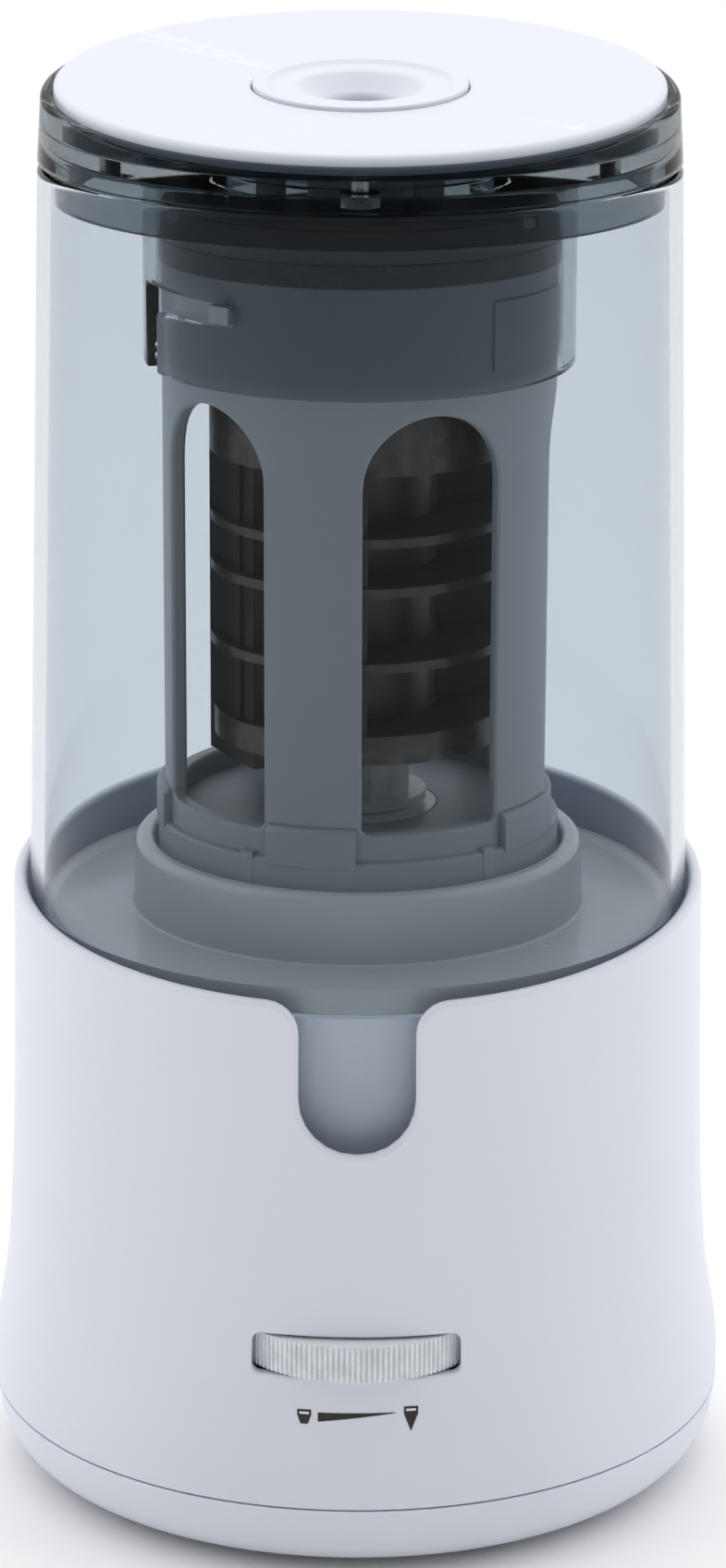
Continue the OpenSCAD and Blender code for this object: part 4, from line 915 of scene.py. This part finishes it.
class SHARPENER_OT_base(bpy.types.Operator):
    """Build the white base with its rim, finger notch, dial slot, bottom cover and printed symbols"""

    bl_idname = "sharpener.base"
    bl_label = "White base"

    def execute(self, context):
        size = settings().base
        slope = math.tan(settings().lid.slope)
        seam = base_low.z
        rim_r = base_high.x - size.flare
        rim_z = base_high.z - rim_r * slope
        self.radius = curve_through([(seam - 0.1 + dz, rim_r + size.flare * f) for dz, f in FLARE_SHAPE])
        unit = self.radius((seam + rim_z) / 2)[0]
        shape = Shape()
        columns = 160
        rim = self.rim_path(size, unit, rim_r, rim_z, slope, columns)
        wrapped_wall(
            shape, self.radius, size.wall,
            Edge(level_path(unit, seam, columns), 0.3),
            Edge(rim, size.rim_lip, top=True, middle=0.0, fade=0.34),
            [self.dial_slot(size, unit), self.inlet_hole(size, unit)],
            columns, lambda z: 2.2 if z < seam + 24 else 4.0,
        )
        white = finish_named("White plastic")
        dress(shape.finish("base_shell"), "base", white, "white_shell", "base_housing")
        self.bottom_cover(white)
        self.symbols()
        return {"FINISHED"}

    def rim_path(self, size, unit, rim_r, rim_z, slope, columns):
        """Top edge of the base from the back, round the side, through the notch and back."""
        half = size.notch_width / 2
        turn_in = size.notch_corner
        top = rim_z - rim_r * slope
        reach = math.asin((half + turn_in) / unit)
        notch = round_path(
            [
                (-half - turn_in - 1.5, top, 0), (-half, top, turn_in), (-half, size.notch_low, half),
                (half, size.notch_low, half), (half, top, turn_in), (half + turn_in + 1.5, top, 0),
            ],
            False, unit, step=1.0,
        )
        edge = reach * unit
        path = []
        for i in range(columns + 1):
            a = -math.pi + TURN * i / columns
            u = a * unit
            if u < -edge - 0.6:
                path.append((u, rim_z - rim_r * math.cos(a) * slope))
        for u, z in notch:
            if abs(u) < edge + 0.2:
                lift = rim_r * (1 - math.cos(u / unit)) * slope * max(0.0, min(1.0, (z - top + turn_in) / turn_in))
                path.append((u, z + lift))
        for i in range(columns + 1):
            a = -math.pi + TURN * i / columns
            u = a * unit
            if u > edge + 0.6:
                path.append((u, rim_z - rim_r * math.cos(a) * slope))
        return path

    def dial_slot(self, size, unit):
        z = (dial_low.z + 1.2) + 2.1
        w, h = size.slot_width / 2, size.slot_height / 2
        corners = [(-w, z - h, 1.0), (w, z - h, 1.0), (w, z + h, 1.0), (-w, z + h, 1.0)]
        return Edge(round_path(corners, True, unit), 0.35, closed=True, middle=0.0)

    def inlet_hole(self, size, unit):
        low, high = node_box("dc_inlet")
        z = (low.z + high.z) / 2
        ring = []
        for i in range(40):
            a = TURN * i / 40
            ring.append((size.inlet_turn * unit + INLET_RADIUS * math.cos(a), z + INLET_RADIUS * math.sin(a)))
        return Edge(ring, 0.4, closed=True, middle=size.inlet_turn)

    def bottom_cover(self, white):
        """Dished bottom cover with its door recess, screw wells and two cut-outs at the cells."""
        seam = base_low.z - 0.15
        wide = base_high.x
        low = cover_low.z
        bowl = curve_through([
            (low, wide - 6.4), (low + 0.55, wide - 4.2), (low + 1.7, wide - 2.5), (low + 3.3, wide - 1.25),
            (low + 5.4, wide - 0.45), (seam, wide - 0.06),
        ])
        side = []
        for i in range(25):
            t = (i / 24) ** 1.6
            z = low + (seam - low) * t
            side.append((bowl(z)[0], z, 0.0, 0))
        corners = [(0.0, low, 0.0, 0), (wide - 8, low, 0.0, 0), *side]
        corners += [
            (wide - 2.0, seam, 0.1, 0), (wide - 2.0, seam + 2.3, 0.3, 0), (wide - 3.1, seam + 2.3, 0.3, 0),
            (wide - 3.1, low + 3, 0.3, 0), (0.0, low + 3, 0.0, 0),
        ]
        outline = rounded(corners)
        shape = Shape()
        turned(shape, [(r, z, nr if r > 0 else 0.0, nz, 0) for r, z, nr, nz, t in outline], sides=144)
        body = shape.finish("bottom_blank")
        gap = 0.3
        recess_low = (door_low.x - gap, door_low.y - gap + 2.2, low - 1)
        recess_high = (door_high.x + gap, door_high.y + gap + 4, low + 1.8)
        cutters = [box_cutter(recess_low, recess_high)]
        for side_x in (-1, 1):
            x = side_x * CELL_MIDDLE
            cutters.append(box_cutter(
                (x - CELL_HALF_WIDTH, CELL_FRONT, low - 1), (x + CELL_HALF_WIDTH, CELL_BACK, low + 4)))
        for sx in (-1, 1):
            for sy in (-1, 1):
                cutters.append(self.well(sx * SCREW_SPOT, sy * SCREW_SPOT, SCREW_WELL, low - 1, low + 2.05))
        piece = cut_away(body, cutters, "bottom_cover")
        dress(piece, "base", white, "white_shell", "base_bottom")

    def well(self, x, y, radius, low, high):
        shape = Shape()
        outline = [(0, low, 0, 0), (radius, low, 0, 0), (radius, high, 0, 0), (0, high, 0, 0)]
        turned(shape, rounded(outline), sides=40, centre=(x, y))
        return shape.finish("well")

    def symbols(self):
        """Printed marks under the dial: a blunt tip, a wedge and a sharp tip."""
        middle = dial_low.z - 3.6
        marks = [
            [(-0.8, 0.82), (-0.8, 0.2), (-0.42, -0.82), (0.42, -0.82), (0.8, 0.2), (0.8, 0.82)],
            [(-4.35, -0.52), (4.5, 0.5), (4.5, 0.56), (-4.35, 0.52)],
            [(-0.8, 1.2), (-0.8, 0.35), (-0.05, -1.55), (0.05, -1.55), (0.8, 0.35), (0.8, 1.2)],
        ]
        shape = Shape()
        for x, mark in zip((-5.9, 0.0, 6.25), marks):
            self.print_mark(shape, [(x + px, middle + pz) for px, pz in mark], 0.04)
        dress(shape.finish("point_symbols"), "base", finish_named("Symbol ink"), "black_part")
        light = Shape()
        for x, z in ((-5.9, middle + 0.42), (6.25, middle + 0.8)):
            band = [(x - 0.55, z - 0.12), (x + 0.55, z - 0.12), (x + 0.55, z + 0.14), (x - 0.55, z + 0.14)]
            self.print_mark(light, band, 0.06)
        dress(light.finish("symbol_bands"), "base", finish_named("White plastic"), "white_shell")

    def print_mark(self, shape, outline, proud):
        """Thin printed area that follows the curved wall."""
        path = refined(outline, True, 0.6)
        if area_of(path) < 0:
            path = list(reversed(path))
        layers = []
        for lift in (proud, -0.1):
            layer = []
            for x, z in path:
                r, lean = self.radius(z)
                a = math.asin(x / r)
                ca, sa = math.cos(a), math.sin(a)
                layer.append(shape.add(((r + lift) * sa, -(r + lift) * ca, z), (sa, -ca, -lean)))
            layers.append(layer)
        lines = [(i, (i + 1) % len(path)) for i in range(len(path))]
        verts, _, tris, origins, _, _ = delaunay_2d_cdt([Vector(p) for p in path], lines, [], 0, 1e-7)
        for tri in tris:
            cx, cy = sum(verts[i].x for i in tri) / 3, sum(verts[i].y for i in tri) / 3
            if in_outline(cx, cy, path):
                ids = [origins[i][0] for i in tri]
                shape.faces.append(tuple(layers[0][i] for i in ids))
                back = [shape.add(shape.points[layers[1][i]], -shape.outward[layers[1][i]]) for i in ids]
                shape.faces.append(tuple(back))
        shape.strip(layers[0], layers[1], True)


class SHARPENER_OT_shavings_box(bpy.types.Operator):
    """Build the clear shell with its floor and collar"""

    bl_idname = "sharpener.shavings_box"
    bl_label = "Clear shavings box"

    def execute(self, context):
        size = settings().shell
        foot, low, top = shell_high.x, shell_low.z, shell_high.z
        mouth = ring_high.x
        rim = 73.1
        inner = foot - size.wall
        floor, under = size.floor, size.floor - size.floor_thickness
        collar_top = floor + size.collar_height
        collar_in = cage_high.x + 0.5
        corners = [
            (inner, low, 0.35, 0), (foot, low, 0.5, 0), (foot, rim, 0.0, 0), (mouth, top, 0.6, 0),
            (mouth - size.wall, top, 0.6, 0), (inner, floor + 1.2, 2.0, 0),
        ]
        shape = Shape()
        turned(shape, rounded(corners), sides=200)
        clear = finish_named("Clear shell")
        dress(shape.finish("clear_shell"), "container", clear, "clear_shell", "shavings_container")
        edge = inner - 0.02
        corners = [
            (edge, under, 0.3, 0), (edge, floor + 1.2, 0.1, 0), (edge - 0.3, floor + 0.5, 0.6, 0),
            (edge - 1.4, floor, 1.0, 0), (size.collar, floor, 0.35, 0), (size.collar - 0.25, collar_top, 1.15, 0),
            (collar_in, collar_top, 0.7, 0), (collar_in, floor, 0.3, 0), (7.4, floor, 0.4, 0), (7.4, under, 0.3, 0),
        ]
        shape = Shape()
        turned(shape, rounded(corners), sides=200)
        dress(shape.finish("shell_floor"), "container", finish_named("Frosted floor"), "clear_shell")
        return {"FINISHED"}


class SHARPENER_OT_lid(bpy.types.Operator):
    """Build the lid: top plate, pencil guide, smoked ring, sleeve and ribs"""

    bl_idname = "sharpener.lid"
    bl_label = "Lid"

    def execute(self, context):
        size, shell = settings().lid, settings().shell
        slope = math.tan(size.slope)
        edge = PLATE_EDGE
        plate = plate_high.z - edge * slope
        white = finish_named("White plastic")
        dish = [(edge - 2.6, plate - 0.02, 3.0, 1), (size.guide + 0.12, plate - 0.8, 0.3, 1)]
        outline = [(size.guide + 0.12, plate - 2.2, 0.2, 1), (edge, plate - 2.2, 0.3, 1), (edge, plate, 0.7, 1), *dish]
        shape = Shape()
        turned(shape, rounded(outline), slope, 200)
        for a in (30, 150, 270):
            spot = (BOSS_SPOT * math.cos(math.radians(a)), BOSS_SPOT * math.sin(math.radians(a)))
            low = size.shelf + size.shelf_thickness
            boss = [(1.0, low, 0.1, 0), (2.6, low, 0.3, 0), (2.6, plate - 1.2, 0, 1), (1.0, plate - 1.2, 0, 1)]
            turned(shape, rounded(boss), slope, 32, spot)
        dress(shape.finish("top_plate"), "lid", white, "white_shell", "lid_plate")
        self.guide(size, plate, slope, white)
        smoked = finish_named("Smoked lid")
        self.ring(size, shell, plate, slope, smoked)
        self.sleeve(size)
        return {"FINISHED"}

    def guide(self, size, plate, slope, white):
        """Pencil guide: raised ring, funnel, tube and posts."""
        low = guide_low.z
        r = size.guide
        outline = [
            (size.hole + 1.8, low, 0.3, 0), (size.hole + 1.8, plate - 3.4, 0.6, 1), (r - 2, plate - 3.4, 0.5, 1),
            (r, plate - 2.2, 0.2, 1), (r, plate - 0.35, 0.3, 1), (r - 1.5, plate - 0.35, 0.5, 1),
            (r - 2.3, plate - 0.78, 0.6, 1), (7.3, plate - 0.75, 1.6, 1), (size.hole, plate - 3.0, 1.2, 1),
            (size.hole, low, 0.4, 0),
        ]
        shape = Shape()
        turned(shape, rounded(outline), slope, 160)
        for a in (46, 166, -74):
            spot = ((r - 1.9) * math.sin(math.radians(a)), -(r - 1.9) * math.cos(math.radians(a)))
            post = [(0, low, 0, 0), (1.7, low, 0.3, 0), (1.7, plate - 3.2, 0, 1), (0, plate - 3.2, 0, 1)]
            turned(shape, rounded(post), slope, 32, spot)
        dress(shape.finish("pencil_funnel"), "lid", white, "white_part", "pencil_guide")

    def ring(self, size, shell, plate, slope, smoked):
        """Smoked ring with its plate pocket, shelf and the skirt that enters the shell."""
        out = ring_high.x
        inside = out - 2.8
        lower = shell_high.z + 0.4
        top = plate - size.proud
        seat = plate - 2.3
        pocket = out - 1.9
        skirt = out - shell.wall - 0.4
        over, under = size.shelf + size.shelf_thickness, size.shelf
        hole = size.guide + 3
        outline = [
            (out, lower, 0.45, 0), (out - 0.5, top, 0.7, 1), (pocket, top, 0.35, 1), (pocket, seat, 0.15, 1),
            (inside, seat, 0.2, 1), (inside, over, 0.6, 0), (hole, over, 0.4, 0), (hole, under, 0.4, 0),
            (skirt - 1.5, under, 0.6, 0), (skirt - 1.5, under - 5.6, 0.4, 0), (skirt, under - 5.6, 0.5, 0),
            (skirt, lower, 0.2, 0),
        ]
        shape = Shape()
        turned(shape, rounded(outline), slope, 200)
        dress(shape.finish("smoked_ring"), "lid", smoked, "smoked_lid", "lid_ring")

    def sleeve(self, size):
        """Sleeve with its two bayonet slots and inner ribs."""
        low = ring_low.z
        top = size.shelf - 0.02
        unit = size.sleeve
        lug_low, lug_high = 141.6, 144.3
        columns = 120
        slot_from, slot_to, wide = -76.5, -35.5, 9.0
        spots = []
        for turn in (0.0, 180.0):
            a0, a1 = slot_from + turn, slot_to + turn
            spots.append([
                (a0, low, 0.5), (a0, lug_high, 0.6), (a1, lug_high, 0.9), (a1, lug_low, 0.9),
                (a0 + wide, lug_low, 0.7), (a0 + wide, low, 0.5),
            ])
        corners = [(-180.0, low, 0.0)] + [c for spot in spots for c in spot] + [(180.0, low, 0.0)]
        flat = [(math.radians(a) * unit, z, r, 0) for a, z, r in corners]
        path = refined([(p[0], p[1]) for p in rounded(flat, False)], False, 1.2)
        shape = Shape()
        wrapped_wall(
            shape, lambda z: (unit, 0.0), size.sleeve_wall, Edge(path, 0.4),
            Edge(level_path(unit, top, columns), 0.2, top=True), [], columns, lambda z: 4.0,
        )
        dress(shape.finish("cage_sleeve"), "lid", finish_named("Smoked sleeve"), "smoked_lid")
        cap_top = node_box("cage_cap")[1].z + 1
        inner = unit - size.sleeve_wall
        makers = []
        for k in range(6):
            a = math.radians(15 + 60 * k)
            makers.append(
                lambda bm, a=a: bent_block(bm, inner - 2.6, inner - 0.05, a - 0.03, a + 0.03, cap_top, top - 0.1)
            )
        dress(blocks("sleeve_ribs", makers, 0.15), "lid", finish_named("Smoked sleeve"), "smoked_lid")


class SHARPENER_OT_cage(bpy.types.Operator):
    """Build the cutter cage with its arched windows, foot and bayonet lugs"""

    bl_idname = "sharpener.cage"
    bl_label = "Cutter cage"

    def execute(self, context):
        size, lid = settings().cage, settings().lid
        unit, top, floor = size.radius, band_low.z, size.sill - 4.3
        columns = 120
        arch = unit * math.sin(size.window_angle / 2)
        holes = []
        for k in range(size.windows):
            middle = size.window_turn + TURN * k / size.windows
            if middle > math.pi:
                middle -= TURN
            holes.append(self.window(size, unit, arch, middle))
        shape = Shape()
        wrapped_wall(
            shape, lambda z: (unit, 0.0), size.wall, Edge(level_path(unit, floor + 0.2, columns), 0.2),
            Edge(level_path(unit, top, columns), 0.25, top=True), holes, columns, lambda z: 3.0,
        )
        skirt = cage_high.x
        turned(shape, rounded([
            (unit - size.wall + 0.6, cage_low.z, 0.3, 0), (skirt, cage_low.z, 0.5, 0), (skirt, floor + 1.1, 0.55, 0),
            (unit - 0.6, floor + 1.3, 0.0, 0), (unit - 0.6, floor + 1.8, 0.2, 0), (9.2, floor + 1.8, 0.4, 0),
            (9.2, floor, 0.3, 0), (unit - size.wall + 0.6, floor, 0.4, 0),
        ]), sides=120)
        grey = finish_named("Cage grey")
        dress(shape.finish("cage_wall"), "cage", grey, "grey_cage", "cutter_cage")
        makers = []
        gap = TURN / size.windows
        half = (gap - size.window_angle) / 2 - math.radians(2)
        for k in range(size.windows):
            mid = size.window_turn + (k + 0.5) * gap
            makers.append(lambda bm, m=mid: bent_block(
                bm, unit - 1, skirt + 0.2, m - half, m + half, floor + 0.5, size.sill + 0.8, 0.6))
            makers.append(lambda bm, a=mid - half: bent_block(
                bm, unit - 1, skirt + 0.1, a - math.radians(8), a - math.radians(4), cage_low.z + 3, floor + 1.6))
        outer = lid.sleeve - 0.4
        for turn in (0, math.pi):
            a0, a1 = (math.radians(LUG_TURN + side * LUG_HALF_WIDTH) + turn for side in (-1, 1))
            makers.append(lambda bm, a0=a0, a1=a1: bent_block(bm, unit - 1, outer, a0, a1, LUG_LOW, LUG_HIGH))
        inner = lid.sleeve - lid.sleeve_wall - 0.3
        makers.append(lambda bm: bent_block(bm, unit - 1, inner, math.radians(40), math.radians(75), 136.4, 144.4))
        dress(blocks("cage_feet", makers, 0.18), "cage", grey, "grey_cage")
        return {"FINISHED"}

    def window(self, size, unit, arch, middle):
        """Outline of one arched window."""
        corners = [(arch, size.sill, 0.9), (arch, size.window_top - arch, 0.0)]
        steps = 18
        for k in range(1, steps):
            a = math.pi * k / steps
            corners.append((arch * math.cos(a), size.window_top - arch + arch * math.sin(a), 0.0))
        corners += [(-arch, size.window_top - arch, 0.0), (-arch, size.sill, 0.9)]
        return Edge(round_path(corners, True, unit, middle), 0.55, closed=True, middle=middle)


class SHARPENER_OT_inner_parts(bpy.types.Operator):
    """Give the working parts inside their finishes"""

    bl_idname = "sharpener.inner_parts"
    bl_label = "Inner parts"

    FINISH_OF = {
        "White plastic": ["battery_door"],
        # These inner parts get the lighter white, painted light for the shade they sit in.
        "Inner white with painted light": [
            "inner_drum", "battery_cradle", "gearbox_frame", "gearbox_cover", "interlock_plunger", "adjust_arm",
        ],
        "Black plastic": ["ring_gear", "microswitch", "motor_end_cap", "dc_inlet"],
        "Dark lid plastic": ["cage_cap"],
        "Carrier brown": ["cutter_carrier"],
        "Rubber": ["rubber_feet"],
        "Gear plastic": ["idler_gear", "output_gear"],
        "Dial plastic": ["thumb_dial"],
        "Hub plastic": ["carrier_hub", "cage_bush"],
        "Cell jacket": ["battery_cells"],
        "Board green": ["circuit_board"],
        "Lead red": ["power_leads"],
        "Steel": [
            "lid_screws", "cage_screws", "carrier_clip", "housing_screws", "battery_contacts", "door_springs",
            "motor_can",
            "motor_shaft", "gearbox_screws", "idler_axle", "output_shaft", "dial_axle", "guide_pins", "stop_rod",
            "switch_lever", "plunger_spring",
        ],
        "Cutter steel": ["cutter_blade"],
        "Bronze": ["blade_pinion", "motor_pinion", "output_bush"],
    }

    def execute(self, context):
        for finish, parts in self.FINISH_OF.items():
            for part in parts:
                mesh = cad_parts[part].data
                mesh.materials.clear()
                mesh.materials.append(finish_named(finish))
        return {"FINISHED"}


class SHARPENER_OT_stage(bpy.types.Operator):
    """Set up the floor, the soft light and the camera"""

    bl_idname = "sharpener.stage"
    bl_label = "Stage"

    def execute(self, context):
        view = settings().stage
        scene = context.scene
        scene.view_settings.view_transform = "Standard"
        self.floor(view)
        self.surround(scene)
        self.lamp("Top softbox", (0, 0.25, 0.9), (0, 0, 0.1), 0.5, 0.3, 0.5)
        self.lamp("Left softbox", (-0.8, -0.35, 0.45), (0, 0, 0.08), 0.18, 0.9, 0.6)
        self.lamp("Right softbox", (0.8, -0.3, 0.45), (0, 0, 0.08), 0.18, 0.9, 0.6)
        data = bpy.data.cameras.new("Camera")
        data.lens, data.sensor_width = view.lens, 36.0
        data.clip_start, data.clip_end = 0.01, 30.0
        camera = bpy.data.objects.new("Camera", data)
        scene.collection.objects.link(camera)
        camera.location = (0.0, -view.distance, view.height)
        camera.rotation_euler = (math.pi / 2 - view.pitch, view.roll, 0.0)
        scene.camera = camera
        return {"FINISHED"}

    def floor(self, view):
        bm = bmesh.new()
        bmesh.ops.create_circle(bm, cap_ends=True, segments=96, radius=6.0)
        mesh = bpy.data.meshes.new("floor")
        bm.to_mesh(mesh)
        bm.free()
        piece = bpy.data.objects.new("floor", mesh)
        bpy.context.scene.collection.objects.link(piece)
        material = bpy.data.materials.new("Floor")
        material.use_nodes = True
        shader = material.node_tree.nodes["Principled BSDF"]
        shader.inputs["Base Color"].default_value = tuple(view.floor)
        shader.inputs["Roughness"].default_value = 0.9
        shader.inputs["Specular IOR Level"].default_value = 0.1
        mesh.materials.append(material)

    def surround(self, scene):
        """Soft room light, dimmer from behind the camera."""
        world = bpy.data.worlds.new("Studio")
        scene.world = world
        world.use_nodes = True
        tree = world.node_tree
        place = tree.nodes.new("ShaderNodeTexCoord")
        split = tree.nodes.new("ShaderNodeSeparateXYZ")
        tree.links.new(place.outputs["Generated"], split.inputs[0])
        ramp = spread(tree, split.outputs["Y"], -0.95, 0.3, 0.22, 0.98)
        ramp = sums(tree, "MULTIPLY", ramp, spread(tree, split.outputs["Z"], 0.1, 1.0, 1.0, 1.6))
        shade = tree.nodes.new("ShaderNodeCombineColor")
        for i, cool in enumerate((0.985, 0.99, 1.0)):
            tree.links.new(sums(tree, "MULTIPLY", ramp, cool), shade.inputs[i])
        sky = tree.nodes["Background"]
        tree.links.new(shade.outputs["Color"], sky.inputs["Color"])
        sky.inputs["Strength"].default_value = 1.0

    def lamp(self, name, place, aim, width, height, power):
        data = bpy.data.lights.new(name, "AREA")
        data.shape, data.size, data.size_y, data.energy = "RECTANGLE", width, height, power
        lamp = bpy.data.objects.new(name, data)
        bpy.context.scene.collection.objects.link(lamp)
        lamp.location = place
        lamp.rotation_euler = (Vector(aim) - Vector(place)).to_track_quat("-Z", "Y").to_euler()


class SHARPENER_PT_panel(bpy.types.Panel):
    """Lists the building steps"""

    bl_label = "Pencil Sharpener"
    bl_idname = "SHARPENER_PT_panel"
    bl_space_type = "VIEW_3D"
    bl_region_type = "UI"
    bl_category = "Sharpener"

    def draw(self, context):
        for step in STEPS:
            self.layout.operator(step.bl_idname)
        for group in ("base", "shell", "lid", "cage", "finish", "stage"):
            box = self.layout.box()
            box.label(text=group.capitalize())
            values = getattr(settings(), group)
            for key in values.bl_rna.properties.keys():
                if key not in ("rna_type", "name"):
                    box.prop(values, key)


STEPS = (
    SHARPENER_OT_finishes,
    SHARPENER_OT_base,
    SHARPENER_OT_shavings_box,
    SHARPENER_OT_lid,
    SHARPENER_OT_cage,
    SHARPENER_OT_inner_parts,
    SHARPENER_OT_stage,
)
GROUPS = (
    SharpenerBaseSizes,
    SharpenerShellSizes,
    SharpenerLidSizes,
    SharpenerCageSizes,
    SharpenerFinishes,
    SharpenerStage,
    SharpenerSettings,
)


def register():
    for made in (*GROUPS, *STEPS, SHARPENER_PT_panel):
        bpy.utils.register_class(made)
    bpy.types.Scene.sharpener = bpy.props.PointerProperty(type=SharpenerSettings)


def unregister():
    del bpy.types.Scene.sharpener
    for made in reversed((*GROUPS, *STEPS, SHARPENER_PT_panel)):
        bpy.utils.unregister_class(made)


def main():
    register()
    bpy.ops.sharpener.finishes()
    bpy.ops.sharpener.base()
    bpy.ops.sharpener.shavings_box()
    bpy.ops.sharpener.lid()
    bpy.ops.sharpener.cage()
    bpy.ops.sharpener.inner_parts()
    bpy.ops.sharpener.stage()


if __name__ == "__main__":
    main()
